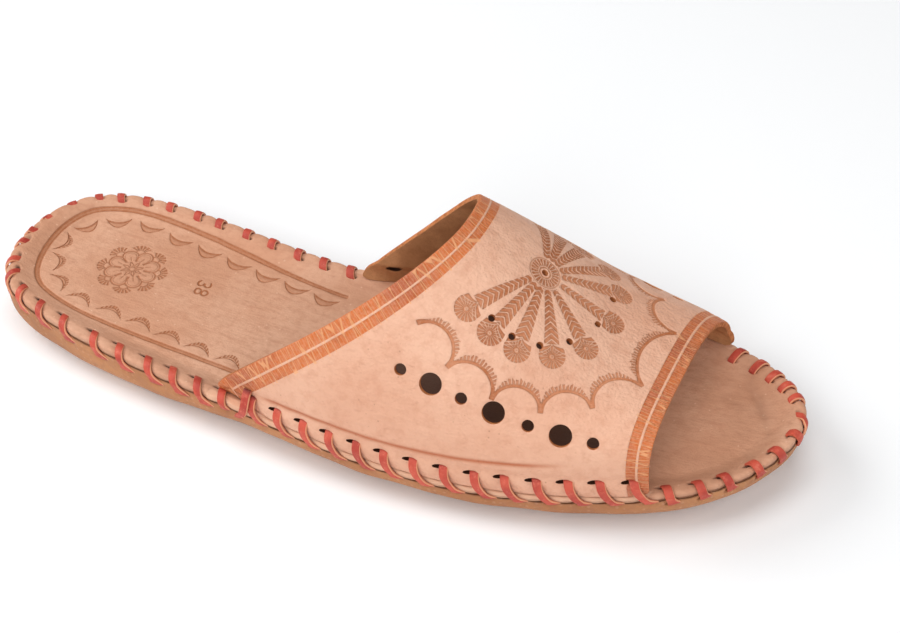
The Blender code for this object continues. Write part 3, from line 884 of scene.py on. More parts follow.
class FlatLeather:
    """The upper unrolled: mm from the fan's middle, along the slope of the crest and round the arch."""

    ROWS = 200
    COLUMNS = 600

    def __init__(self):
        v = np.linspace(0.0, 1.0, self.ROWS + 1)[:, None]
        u = np.linspace(0.0, 1.0, self.COLUMNS + 1)[None, :]
        points = upper_surface(v, u) / MM
        crest = points[:, self.COLUMNS // 2]
        slope = crest[-1] - crest[0]
        slope[1] = 0.0
        slope /= np.linalg.norm(slope)
        step = np.diff(points, axis=1)
        round_arch = np.sqrt(np.maximum((step**2).sum(axis=-1) - (step @ slope) ** 2, 0.0))
        over = np.concatenate([np.zeros((self.ROWS + 1, 1)), np.cumsum(round_arch, axis=1)], axis=1)
        over += (crest[:, 1] - over[:, self.COLUMNS // 2])[:, None]
        self.table = np.stack([points @ slope, over], axis=-1)
        self.table -= self.at(*(np.array(share) for share in FAN_CENTRE))

    def at(self, v, u):
        row = np.clip(v, 0.0, 1.0) * self.ROWS
        column = np.clip(u, 0.0, 1.0) * self.COLUMNS
        i = np.minimum(row.astype(int), self.ROWS - 1)
        j = np.minimum(column.astype(int), self.COLUMNS - 1)
        a = (row - i)[..., None]
        b = (column - j)[..., None]
        near_row = mix(self.table[i, j], self.table[i, j + 1], b)
        far_row = mix(self.table[i + 1, j], self.table[i + 1, j + 1], b)
        return mix(near_row, far_row, a)

    def find(self, angle, distance):
        """The v and u of a place given by its angle and distance from the fan's middle."""
        turn = math.radians(angle)
        target = distance * np.array([math.cos(turn), math.sin(turn)])
        off = np.linalg.norm(self.table - target, axis=-1)
        i, j = np.unravel_index(off.argmin(), off.shape)
        return i / self.ROWS, j / self.COLUMNS


class Sheet:
    """The upper's grid: where its points lie on the surface, and which cells are leather."""

    CORNERS = (0.0050, 0.0022)

    def __init__(self):
        rows = graded(UPPER_ROWS, (0.0, 1.0), (1.0, 1.0))
        columns = graded(UPPER_COLUMNS, (0.0, 0.16, 0.22, 0.80, 0.86, 1.0), (1.0, 0.9, 1.15, 1.15, 0.9, 1.0))
        along, self.u = np.meshgrid(rows, columns, indexing="ij")
        start = self.corner(0.0, self.CORNERS[0])
        end = 1.0 - self.corner(1.0, self.CORNERS[1])
        self.v = mix(start[None, :], end[None, :], along)
        self.kept = np.ones((UPPER_ROWS, UPPER_COLUMNS), bool)
        self.held = np.zeros(self.v.shape, bool)
        self.held[[0, -1]] = True
        self.held[:, [0, -1]] = True
        self.points = upper_surface(self.v, self.u)

    def corner(self, v, radius):
        """Share of the length that a rounded corner takes off each column at one open edge."""
        edge = upper_surface(v, self.u[0])
        height = np.clip(edge[:, 2] - rim_height(edge[:, 0]) - CLEARANCE, 0.0, radius)
        setback = radius - np.sqrt(np.maximum(radius**2 - (radius - height) ** 2, 0.0))
        foot = upper_surface(np.array([0.0, 1.0])[:, None], self.u[:1])
        return setback / np.linalg.norm(foot[1] - foot[0], axis=1)

    def punch(self, v, u, half_along, half_up):
        """Cuts an oval hole and lays the cells round it along its edge."""
        v = np.float64(v)
        u = np.float64(u)
        centre = upper_surface(v, u)
        slope, _ = upper_slopes(v, u)
        normal = upper_normal(v, u)
        along = slope - normal * (slope @ normal)
        along /= np.linalg.norm(along)
        up = np.cross(normal, along)
        away = self.points - centre
        reach = np.hypot(away @ along / half_along, away @ up / half_up)
        reach = np.where(np.linalg.norm(away, axis=-1) > 4.0 * max(half_along, half_up), 99.0, reach)
        middle = (reach[1:, 1:] + reach[:-1, 1:] + reach[1:, :-1] + reach[:-1, :-1]) / 4.0
        gone = middle < 1.0
        self.kept &= ~gone
        touched = np.zeros(self.v.shape, int)
        for rows in (slice(None, -1), slice(1, None)):
            for columns in (slice(None, -1), slice(1, None)):
                touched[rows, columns] += gone
        edge = (touched > 0) & (touched < 4)
        target = centre + away[edge] / reach[edge][:, None]
        for _ in range(3):
            self.step(edge, target)
        self.held |= touched > 0
        ring = (reach < 1.0 + 2.2 * MM / min(half_along, half_up)) & ~self.held
        self.relax(ring)

    def step(self, chosen, target):
        """Moves chosen points towards their targets along the surface."""
        v = self.v[chosen]
        u = self.u[chosen]
        a, b = upper_slopes(v, u)
        away = target - upper_surface(v, u)
        aa, ab, bb = ((p * q).sum(axis=-1) for p, q in ((a, a), (a, b), (b, b)))
        wa, wb = ((p * away).sum(axis=-1) for p in (a, b))
        scale = aa * bb - ab**2
        self.v[chosen] = v + (wa * bb - wb * ab) / scale
        self.u[chosen] = u + (wb * aa - wa * ab) / scale

    def relax(self, ring):
        """Evens out the cells of a ring round a hole."""
        rows, columns = np.nonzero(ring)
        for _ in range(8):
            for field in (self.v, self.u):
                total = field[rows - 1, columns] + field[rows + 1, columns]
                total += field[rows, columns - 1] + field[rows, columns + 1]
                field[rows, columns] = total / 4.0
        self.points = upper_surface(self.v, self.u)


def ray_places(place):
    """For places on the flat leather: distances along and off the nearest ray, and that ray's reach, in mm."""
    x, y = place[..., 0], place[..., 1]
    rays = np.array(FAN_RAYS)
    angle = np.degrees(np.arctan2(y, x))
    nearest = np.abs(angle[..., None] - rays[:, 0]).argmin(axis=-1)
    turn = np.radians(rays[nearest, 0])
    along = x * np.cos(turn) + y * np.sin(turn)
    across = np.abs(y * np.cos(turn) - x * np.sin(turn))
    return np.stack([along, across, rays[nearest, 1]], axis=-1)


def ray_stamp(along, across, reach):
    """A leaf of chevrons that point to the fan's middle."""
    end = reach - CAP_NECK
    share = np.clip((along - RAY_START) / (end - RAY_START), 0.0, 1.0)
    width = mix(RAY_HALF_START, RAY_HALF_END, share)
    inside = soft(width - across) * soft(along - RAY_START) * soft(end + 0.6 - along)
    phase = (along - CHEVRON_SLOPE * across) / CHEVRON_PITCH
    return inside * pulse(phase, 0.74, CHEVRON_PITCH)


def cap_stamp(along, across):
    """The shell at a ray's end, round its dot: ticks outside, two curled leaves at the neck."""
    radius = np.hypot(along, across)
    neck = 3.35 * ((across + 0.02) / CAP_RADIUS) ** 0.4 - CAP_NECK
    tick = pulse(np.arctan2(across, along) * CAP_TICKS / (2.0 * math.pi), 0.3, 1.1)
    shell = soft(CAP_RADIUS - np.hypot(along + 0.5, across)) * soft(along - neck - 0.16)
    shell = shell * (1.0 - 0.75 * tick * soft(radius - 1.0)) * (1.0 - 0.8 * near(radius - 0.4, 0.22))
    shell = shell * (1.0 - 0.7 * near(along - neck - 0.95, 0.16) * soft(across - 0.4))
    ear = soft(neck - 0.16 - along) * soft(along - neck + 0.5 + 0.3 * across)
    ear = ear * soft(across - 0.3) * soft(3.7 - np.hypot(along + 1.2, across))
    return most(shell, ear)


def button_stamp(radius, angle):
    """The ring of ticks round the fan's middle hole."""
    ticks = pulse(angle * BUTTON_TICKS / (2.0 * math.pi), 0.66, 1.1)
    spokes = ticks * soft(radius - 2.3) * soft(BUTTON_RADIUS - 0.15 - radius)
    return most(spokes, near(radius - 1.75, 0.22), 0.7 * near(radius - BUTTON_RADIUS - 0.25, 0.2))


def fan_stamp(x, y, along, across, reach):
    """How deep the fan is stamped, 0 to 1."""
    button = button_stamp(np.hypot(x, y), np.arctan2(y, x))
    return most(button, ray_stamp(along, across, reach), cap_stamp(along - reach, across))


def polar(angle, distance):
    turn = math.radians(angle)
    return distance * np.array([math.cos(turn), math.sin(turn)])


def arc_places(place):
    """For places on the flat leather: distance off the border's arc towards the fan, distance along the
    border, distance to the arc's nearer end, in mm."""
    angle = np.degrees(np.arctan2(place[..., 1], place[..., 0]))
    result = np.zeros((*angle.shape, 3))
    passed = 0.0
    for first, last in zip(CUSP_ANGLES, CUSP_ANGLES[1:]):
        low = -181.0 if first == CUSP_ANGLES[0] else first
        high = 181.0 if last == CUSP_ANGLES[-1] else last
        start = polar(first, CUSP_RADIUS)
        end = polar(last, CUSP_RADIUS)
        top = polar((first + last) / 2.0, FRONT_ARC_REACH if first < 0.0 < last else ARC_REACH)
        half = np.linalg.norm(end - start) / 2.0
        middle = (start + end) / 2.0
        rise = np.linalg.norm(top - middle)
        radius = (half**2 + rise**2) / (2.0 * rise)
        inward = (top - middle) / rise
        side = (end - start) / (2.0 * half)
        limit = math.atan2(half, radius - rise)
        chosen = (angle >= low) & (angle < high)
        away = place[chosen] - (top - inward * radius)
        turn = np.arctan2(away @ side, away @ inward)
        result[chosen, 0] = np.linalg.norm(away, axis=-1) - radius
        result[chosen, 1] = passed + (turn + limit) * radius
        result[chosen, 2] = (limit - np.abs(turn)) * radius
        passed += 2.0 * limit * radius
    return result


def scallop_stamp(off, run, margin):
    """The border of arcs: a line, thicker at the cusps, with uneven ticks on the fan's side."""
    half = ARC_LINE / 2.0 - 0.05 + 0.3 * near(margin, 1.8)
    line = soft(half - np.abs(off))
    ragged = 1.0 + 0.20 * np.sin(run * 2.7) + 0.14 * np.sin(run * 7.1 + 1.0)
    # near a cusp the two arcs run side by side, so their ticks are short
    length = np.minimum(ARC_TICK_LENGTH * ragged, margin * margin / 16.0 - 0.3)
    ticks = pulse(run / ARC_TICK_PITCH, 0.62, ARC_TICK_PITCH) * soft(off - half + 0.2)
    ticks = ticks * soft(half + length - off)
    return soft(margin + 0.5) * most(line, 0.85 * ticks)


def band_dye(along, off, strips):
    """How dyed a band is, with fine ticks across it, from mm along the edge and mm off it."""
    (a, b), (c, d) = strips
    dye = most(soft(off - a) * soft(b - off), soft(off - c) * soft(d - off))
    ticks = pulse(along / 0.9 + 0.3 * np.sin(along / 3.1), 0.72, 0.9)
    return dye * (0.82 + 0.18 * ticks)


def upper_hole(run, inner, height):
    """The v and u of a place on the upper, from its distance along the rim and its height over it."""
    x = outline(rim.place(run))[0]
    v, u, face = upper_side_curve(inner, height)
    return np.interp(x, face[:, 0], v), np.interp(x, face[:, 0], u)


def make_upper():
    """The arched leather with its punched holes, slits, stamps, dyed bands and puckers at the lacing."""
    flat = FlatLeather()
    sheet = Sheet()
    for side in (SIDE_HOLE_UP, 1.0 - SIDE_HOLE_UP):
        for v, diameter in SIDE_HOLES:
            sheet.punch(v, side, diameter / 2.0, diameter / 2.0)
    sheet.punch(*FAN_CENTRE, FAN_HOLE * MM, FAN_HOLE * MM)
    for angle, distance in FAN_HOLES:
        sheet.punch(*flat.find(angle, distance), FAN_HOLE * MM, FAN_HOLE * MM)
    slits = []
    for hole, edge, _, top, _, _, inner in STITCHES:
        if top > 0.0:
            turn = -1.0 if inner else 1.0
            v, u = upper_hole(hole - turn * 1.0 * MM, inner, top + 0.4 * MM)
            slits.append(upper_surface(v, u))
            sheet.punch(v, u, 0.0023, 0.00068)

    points = sheet.points
    normal = upper_normal(sheet.v, sheet.u)
    place = flat.at(sheet.v, sheet.u)
    height = points[..., 2] - rim_height(points[..., 0])
    on_side = np.abs(sheet.u - 0.5) > 0.3
    is_outer = sheet.u < 0.5

    form = 0.25 * MM * ripple(points, 0.045, 3) + 0.09 * MM * ripple(points, 0.012, 4)
    dent = np.zeros(sheet.v.shape)
    for slit in slits:
        dent = np.maximum(dent, near(np.linalg.norm(points - slit, axis=-1), 0.0032))
    outer_run = np.interp(points[..., 0], OUTER_SIDE[:, 0], rim.far[: HALF + 1])
    inner_run = np.interp(points[..., 0], INNER_SIDE[:, 0], rim.far[HALF:][::-1])
    run = np.where(is_outer, outer_run, inner_run)
    pinch = np.zeros(sheet.v.shape)
    for hole, edge, _, top, _, _, inner in STITCHES:
        if top > 0.0:
            at = mix(edge, hole, np.clip(height / top, 0.0, 1.0))
            pinch = np.maximum(pinch, near(rim_gap(run, at), 0.0021) * (is_outer != inner))
    roll = np.sin(math.pi * np.clip(height / 0.0068, 0.0, 1.0)) ** 0.8
    form += on_side * (roll * (0.62 - 0.62 * pinch) - 0.45 * dent) * MM
    form -= on_side * 0.25 * MM * near(height - 0.0068, 0.0016)
    sink = np.zeros(sheet.v.shape)
    for corner, depth, side in ((points[0, 0], 3.8, is_outer), (points[0, -1], 2.0, ~is_outer)):
        tuck = near((points - corner)[..., 0], 0.0105) * near(height, 0.0095) * side
        form -= depth * MM * tuck
        sink += 0.15 * depth * MM * tuck

    rays = ray_places(place)
    arcs = arc_places(place)
    stamp = most(fan_stamp(place[..., 0], place[..., 1], *np.moveaxis(rays, -1, 0)),
                 scallop_stamp(*np.moveaxis(arcs, -1, 0)))
    start, end = FOOT_LINE_ENDS
    ends = smooth_step((sheet.v - start) / 0.06) * smooth_step((end - sheet.v) / 0.16)
    level = mix(*FOOT_LINE_HEIGHTS, np.clip((sheet.v - start) / (end - start), 0.0, 1.0))
    foot_line = near(height / MM - level - 0.3 * ripple(points, 0.05, 8), 0.7) * ends * on_side
    edges = np.zeros((*sheet.v.shape, 3))
    edges[..., 1] = 60.0
    edges[..., 2] = sheet.v > 0.5
    for rows, curve in ((sheet.v < 0.25, points[0]), (sheet.v > 0.82, points[-1])):
        along, off = follow(points[rows] / MM, curve / MM)
        edges[rows, 0] = along
        edges[rows, 1] = off
    # the throat's band is narrower over the top of the foot
    over_top = np.sin(math.pi * sheet.u) ** 4
    # and the toe's band is drawn in at its feet
    edges[..., 1] *= np.where(sheet.v < 0.5, 0.97 + 0.25 * over_top, 1.0 + 0.9 * near(height, 0.0035))
    dye = np.where(sheet.v < 0.5, band_dye(edges[..., 0], edges[..., 1], THROAT_BAND),
                   band_dye(edges[..., 0], edges[..., 1], TOE_BAND))
    press = 0.22 * MM * np.maximum(stamp, 1.2 * foot_line) + 0.10 * MM * dye

    touched = np.zeros(sheet.v.shape, bool)
    gone = ~sheet.kept
    for rows in (slice(None, -1), slice(1, None)):
        for columns in (slice(None, -1), slice(1, None)):
            touched[rows, columns] |= gone
    touched[[0, -1]] = True
    touched[:, [0, -1]] = True

    body = Body()
    form_points = points + normal * form[..., None]
    form_points[..., 2] -= sink
    outside = form_points - normal * (press + 0.18 * MM * touched)[..., None]
    inside = form_points - normal * (UPPER_WALL - 0.10 * MM * touched)[..., None]
    flat_place = np.concatenate([place, (height / MM)[..., None]], axis=-1)
    # painted shade: the cut sides of the slits are coloured dark, where they lie in the dark
    in_slit = 0.95 * (touched & (dent > 0.4) & on_side)
    face = body.add(outside, band=foot_line, dark=in_slit, flat=flat_place, ray=rays, arc=arcs, edge=edges)
    back = body.add(inside, dark=in_slit)
    body.grid(face, 0, kept=sheet.kept)
    body.grid(back, 1, flip=True, kept=sheet.kept)
    wall(body, face, back, sheet.kept, 2)
    suede_back = suede("upper_back", linear(220, 162, 116), linear(176, 122, 82))
    upper = body.build("upper_shell", [upper_leather(), suede_back, raw_edge("upper_edge")])
    thin_out(upper, body.new_number[back], sheet.kept)
    return upper


def wall(body, face, back, kept, slot):
    """Faces between the two sides of a sheet, all round its leather and its holes."""
    wide = np.pad(kept, 1)
    i, j = np.nonzero(kept)
    corners = ((0, 0), (1, 0), (1, 1), (0, 1))
    neighbours = ((1, 0), (2, 1), (1, 2), (0, 1))
    for k, (down, right) in enumerate(neighbours):
        open_side = ~wide[i + down, j + right]
        a = (i[open_side] + corners[k][0], j[open_side] + corners[k][1])
        b = (i[open_side] + corners[(k + 1) % 4][0], j[open_side] + corners[(k + 1) % 4][1])
        body.quads(np.stack([face[b], face[a], back[a], back[b]], axis=1), slot)


def thin_out(piece, back, kept):
    """Fewer faces on the plain back, which needs no fine grid; its edges stay."""
    whole = np.zeros(back.shape, int)
    for rows in (slice(None, -1), slice(1, None)):
        for columns in (slice(None, -1), slice(1, None)):
            whole[rows, columns] += kept
    group = piece.vertex_groups.new(name="plain_back")
    group.add(back[whole == 4].ravel().tolist(), 1.0, "REPLACE")
    fewer = piece.modifiers.new("fewer_faces", "DECIMATE")
    fewer.ratio = 0.58
    fewer.vertex_group = group.name
    bake_modifiers(piece)


def bake_modifiers(piece):
    """Keeps what the modifiers make as the piece's own mesh."""
    shaped = piece.evaluated_get(bpy.context.evaluated_depsgraph_get())
    mesh = bpy.data.meshes.new_from_object(shaped)
    piece.modifiers.clear()
    piece.data = mesh


def half_rows(count, knots, weights):
    """Places of a ring on the outline: ribs cross from its outer half to its inner half."""
    shares = graded(count, knots, weights)
    outer_end = rim.far[HALF]
    outer = rim.place(shares * outer_end * (1.0 - 1e-9))
    inner = rim.place(rim.length - shares * (rim.length - outer_end))
    inner[0] = 1.0
    return outer, inner


def ribbed_plan(outer, inner, insets, across):
    """Plan points of a ribbed sheet: rim zones at the insets on both sides, and cells across between them."""
    zones = []
    for places in (outer, inner):
        points, out = outline_frame(places)
        zones.append(points[:, None] - out[:, None] * insets[None, :, None])
    inner_zone = zones[1][:, ::-1]
    shares = np.linspace(0.0, 1.0, across + 1)[None, 1:-1, None]
    between = mix(zones[0][:, -1:], inner_zone[:, :1], shares)
    plan = np.concatenate([zones[0], between, inner_zone], axis=1)
    shown = np.minimum(np.arange(len(insets)), len(insets) - 1)
    inset = np.full(plan.shape[:2], insets[-1])
    inset[:, : len(insets)] = insets[shown]
    inset[:, -len(insets) :] = insets[::-1]
    return plan, inset


def fold_ends(numbers, side):
    """Repeats the point numbers of the first and last rib, which close to a line at the heel and the toe."""
    folded = numbers.copy()
    for row in (0, -1):
        folded[row, side : numbers.shape[1] - side] = numbers[row, side - 1]
        folded[row, -side:] = numbers[row, :side][::-1]
    return folded


def rim_measures(plan):
    """For plan points: distance along the rim in mm, minus on the inner side, and inset from the rim."""
    ring = DENSE_OUTLINE[:-1:2]
    run = rim.far[:-1:2]
    flat = plan.reshape(-1, 2)
    along = np.empty(len(flat))
    inset = np.empty(len(flat))
    for start in range(0, len(flat), 4000):
        part = flat[start : start + 4000]
        off = np.linalg.norm(part[:, None] - ring[None], axis=2)
        nearest = off.argmin(axis=1)
        along[start : start + 4000] = run[nearest]
        inset[start : start + 4000] = off[np.arange(len(part)), nearest]
    along = np.where(along > rim.length / 2.0, along - rim.length, along)
    return along.reshape(plan.shape[:2]) / MM, inset.reshape(plan.shape[:2]) / MM


def border_inset(run):
    knots = [row[0] for row in BORDER_LINE]
    return spline(knots, [row[1] for row in BORDER_LINE])(np.clip(run, knots[0], knots[-1]))


def crescent_places(plan):
    """For plan points: distances along and in from the nearest moon's chord in mm, and its ticks, 0 or 1."""
    moons = np.array(CRESCENTS, float)
    start, end, ticked = moons[:, :2], moons[:, 2:4], moons[:, 4]
    middle = (start + end) / 2.0
    half = np.linalg.norm(end - start, axis=1) / 2.0
    side = (end - start) / (2.0 * half)[:, None]
    deep = np.stack([-side[:, 1], side[:, 0]], axis=1)
    # the belly points away from the rim, towards the middle of the heel or the waist
    target = np.stack([np.clip(middle[:, 0], 30.0, None), np.zeros(len(middle))], axis=1)
    deep *= np.sign((deep * (target - middle)).sum(axis=1))[:, None]
    place = plan / MM
    nearest = np.linalg.norm(place[..., None, :] - middle, axis=-1).argmin(axis=-1)
    away = place - middle[nearest]
    along = np.abs((away * side[nearest]).sum(axis=-1)) * 4.7 / half[nearest]
    return np.stack([along, (away * deep[nearest]).sum(axis=-1), ticked[nearest]], axis=-1)


def crescent_stamp(along, deep, ticked):
    """A moon between two arcs from tip to tip; some have ticks along the belly."""
    share = np.clip(1.0 - (along / 4.7) ** 2, 0.0, 1.0)
    outer = CRESCENT_BELLY * share
    inner = mix(*CRESCENT_HOLLOW, ticked) * share
    inside = soft(4.7 - along) * soft(outer - deep) * soft(deep - inner)
    plain = 0.42 + 0.58 * most(near(deep - outer + 0.3, 0.32), near(deep - inner - 0.3, 0.4))
    ticks = pulse(along / 0.95, 0.55, 0.95) * soft(deep - outer + 1.1)
    lines = most(near(deep - inner - 0.2, 0.28), near(deep - outer + 1.15, 0.18))
    return inside * mix(plain, most(ticks, lines, 0.25 * inside), ticked)


def rosette_stamp(x, y):
    """Eight outlined petals round a small star, with a little fan between each two."""
    x = (x - ROSETTE[0]) / ROSETTE_SCALE
    y = (y - ROSETTE[1]) / ROSETTE_SCALE
    radius = np.hypot(x, y)
    angle = np.arctan2(y, x) + 0.2
    sector = 2.0 * math.pi / 8.0
    turn = np.mod(angle + sector / 2.0, sector) - sector / 2.0
    along = radius * np.cos(turn)
    across = np.abs(radius * np.sin(turn))
    lobe = np.hypot(along - 5.8, across)
    petal = most(near(lobe - 2.45, 0.26), 0.55 * near(lobe - 1.75, 0.16)) * soft(along - 5.0)
    flank = near(across - 0.44 * along + 0.25, 0.24) * soft(along - 3.3) * soft(5.4 - along)
    star = near(across - 0.5 * (1.0 - np.abs(along - 2.0) / 1.5), 0.17) * soft(along - 0.7) * soft(3.5 - along)
    vein = 0.7 * near(across, 0.16) * soft(along - 3.9) * soft(5.6 - along)
    between = np.mod(angle, sector) - sector / 2.0
    out = radius * np.cos(between) - 7.6
    aside = radius * np.sin(between)
    fan_radius = np.hypot(out, aside)
    ticks = pulse(np.arctan2(aside, out) / 0.40, 0.58, 0.9)
    fan = soft(3.3 - fan_radius) * soft(fan_radius - 1.6) * soft(out - 0.55 * np.abs(aside)) * (0.2 + 0.8 * ticks)
    arch = near(fan_radius - 1.35, 0.2) * soft(out)
    return most(petal, flank, 0.9 * star, vein, fan, arch)


def digit_stamp(x, y, number):
    """The digits 3 and 8 as rings of an even stroke, with the top of the digit towards the toe."""
    right = SIZE_DIGITS[number][1] - y
    up = x - SIZE_DIGITS[number][0]
    loop = DIGIT_HEIGHT / 4.0
    level = np.abs(up) - loop
    reach = np.hypot(right / (DIGIT_WIDTH / 2.0), level / loop)
    ring = soft(DIGIT_STROKE / 2.0 - np.abs(reach - 0.86) * loop)
    if number == 0:
        # the 3 is open on the left between its ends
        ring = ring * most(soft(right + 0.35), soft(np.abs(up) - DIGIT_HEIGHT * 0.33))
    return ring


def insole_stamp(x, y, run, off_line, along, deep, ticked):
    """How deep the insole is stamped, 0 to 1, from the places of a point in mm."""
    line = soft(BORDER_LINE_WIDTH / 2.0 - np.abs(off_line), 0.35) * soft(run - BORDER_LINE[0][0], 0.6)
    line = line * soft(135.0 - x, 4.0) * (0.7 + 0.3 * near(np.abs(off_line) - 0.5, 0.25))
    return most(line, crescent_stamp(along, deep, ticked), 0.9 * rosette_stamp(x, y), digit_stamp(x, y, 0),
                digit_stamp(x, y, 1))


def stitch_marks(run, inset):
    """For places on the insole in mm: the stitches' holes, and the pinch under each stitch."""
    hole_mark = np.zeros(run.shape)
    pinch = np.zeros(run.shape)
    for hole, edge, _, top, _, _, inner in STITCHES:
        turn = -1.0 if inner else 1.0
        if top < 0.0:
            away = (rim_gap(run * MM, hole) / MM) * turn + (0.0 if inner else 0.8)
            reach = -top / MM
            mark = soft(1.0 - np.hypot(away / 1.5, (inset - reach - 0.1) / 0.6), 0.5)
            # the holes nearest the edge are pulled shut
            hole_mark = np.maximum(hole_mark, mark * min(1.0, (reach / 3.0) ** 2))
            at = mix(edge, hole, np.clip(inset / reach, 0.0, 1.0))
            fade = smooth_step((reach + 2.0 - inset) / 2.0)
        else:
            at = edge
            fade = 1.0
        pinch = np.maximum(pinch, near(rim_gap(run * MM, at) / MM, 2.0) * fade)
    return hole_mark, pinch


def make_insole():
    """The stamped insole: rim zone pinched by the stitches, rounded edge, shallow dish."""
    outer, inner = half_rows(INSOLE_ROWS, (0.0, 0.42, 0.50, 1.0), (1.0, 1.0, 0.55, 0.55))
    insets = np.concatenate([[0.0, 0.2, 0.5, 0.9], np.arange(1.4, 10.3, 0.5)]) * MM
    plan, inset = ribbed_plan(outer, inner, insets, 92)
    run, gap = rim_measures(plan)
    gap = np.where(inset < insets[-1] - 1e-9, inset / MM, gap)
    off_line = gap - border_inset(run)
    moons = crescent_places(plan)
    x = plan[..., 0]
    stamp = insole_stamp(x / MM, plan[..., 1] / MM, run, off_line, *np.moveaxis(moons, -1, 0))
    hole, pinch = stitch_marks(run, gap)
    level = rim_height(x) - insole_dip(np.minimum(inset, gap * MM))
    points = np.concatenate([plan, level[..., None]], axis=-1)
    soft_form = 0.30 * ripple(points, 0.035, 21) + 0.12 * ripple(points, 0.010, 22)
    edge_drop = 0.6 * np.clip(1.0 - gap / 0.9, 0.0, 1.0) ** 2
    at_rim = smooth_step(1.0 - gap / 6.0)
    crease = toe_creases(plan)
    rise = soft_form * smooth_step(gap / 3.0) - 0.25 * stamp - 0.9 * hole - edge_drop
    rise += at_rim * (0.40 - 0.75 * pinch) - crease
    covered = under_upper(plan)
    rise = np.where(covered & (gap < 4.5), np.minimum(rise, -0.05), rise)
    points[..., 2] += rise * MM
    points[..., :2] += inward_pull(run, gap, pinch)
    edge_light = 0.8 * covered * (gap < 2.0)
    # painted shade: the leather is coloured dark deep under the upper, past the line of sight over the throat's edge
    throat = upper_surface(0.0, np.linspace(0.0, 0.5, 101))
    high = throat[:, 2] - BALL_HEIGHT
    inside = x - np.interp(plan[..., 1], throat[:, 1] + 1.037 * high, throat[:, 0] - 0.461 * high)
    shade = 0.88 * smooth_step(inside / 0.024) * smooth_step((0.210 - x) / 0.010) * (gap > 2.5)
    body = Body()
    # painted shade: the stitch holes, the toe creases and the leather deep under the upper are coloured dark
    face = body.add(points, dark=most(0.95 * hole, 0.25 * crease, shade), light=edge_light,
                    flat=np.concatenate([plan / MM, np.zeros((*x.shape, 1))], axis=-1), arc=moons,
                    edge=np.stack([run, off_line, gap], axis=-1))
    low = np.concatenate([plan[:, :1], plan[:, len(insets) : -len(insets) : 23], plan[:, -1:]], axis=1)
    low = np.concatenate([low, (rim_height(low[..., 0]) - INSOLE_THICKNESS - INSOLE_DIP)[..., None]], axis=-1)
    low[:, [0, -1], 2] += INSOLE_DIP
    low[:, [0, -1], :2] += inward_pull(run[:, [0, -1]], gap[:, [0, -1]] + 0.6, pinch[:, [0, -1]])
    # painted shade: the insole's hidden underside is coloured near black
    back = fold_ends(body.add(low, dark=0.95), 1)
    belt = low[:, [0, -1]].copy()
    belt[..., 2] += 0.45 * MM
    # the insole's side outside the upper is a little darker: partly its own duller tone, partly painted shade
    belt = body.add(belt, light=edge_light[:, [0, -1]], dark=0.18 * (1.0 - covered[:, [0, -1]]))
    face = fold_ends(face, len(insets))
    body.grid(face)
    body.grid(back, 0, flip=True)
    rings = [np.concatenate([ring[:, 0], ring[-2:0:-1, -1], ring[:1, 0]]) for ring in (back, belt, face)]
    body.grid(np.stack(rings), 0, flip=True)
    return body.build("insole_pad", [insole_leather()], 62.0)


def toe_creases(plan):
    """Soft troughs where the pad is pulled in by the lacing at the open toe, in mm."""
    share = plan[..., 0] / SOLE_LENGTH
    total = np.zeros(share.shape)
    for start, end, depth, width in (
        ((0.905, 0.030), (0.962, 0.008), 0.35, 0.0016),
        ((0.925, 0.024), (0.974, 0.001), 0.25, 0.0012),
        ((0.890, 0.020), (0.930, 0.012), 0.20, 0.0018),
        ((0.950, -0.004), (0.972, -0.012), 0.25, 0.0014),
    ):
        a = np.array([start[0] * SOLE_LENGTH, start[1]])
        b = np.array([end[0] * SOLE_LENGTH, end[1]])
        span = b - a
        along = np.clip(((plan - a) @ span) / (span @ span), 0.0, 1.0)
        off = np.linalg.norm(plan - a - along[..., None] * span, axis=-1)
        total += depth * near(off, width) * smooth_step(along * 4.0) * smooth_step((1.0 - along) * 4.0)
    return total


def under_upper(plan):
    """Where the upper's foot stands on the rim."""
    share = plan[..., 0] / SOLE_LENGTH
    outer = (share > THROAT[0]) & (share < TOE_OPENING[0]) & (plan[..., 1] < 0.0)
    inner = (share > THROAT[2]) & (share < TOE_OPENING[2]) & (plan[..., 1] > 0.0)
    return outer | inner


def inward_pull(run, gap, pinch):
    """How far the stitches pull the rim in, and how far it bulges between them, in metres."""
    _, out = outline_frame(rim.place(run * MM))
    pull = (0.30 - 0.75 * pinch) * np.clip(1.0 - gap / 3.0, 0.0, 1.0) * MM
    return out * pull[..., None]


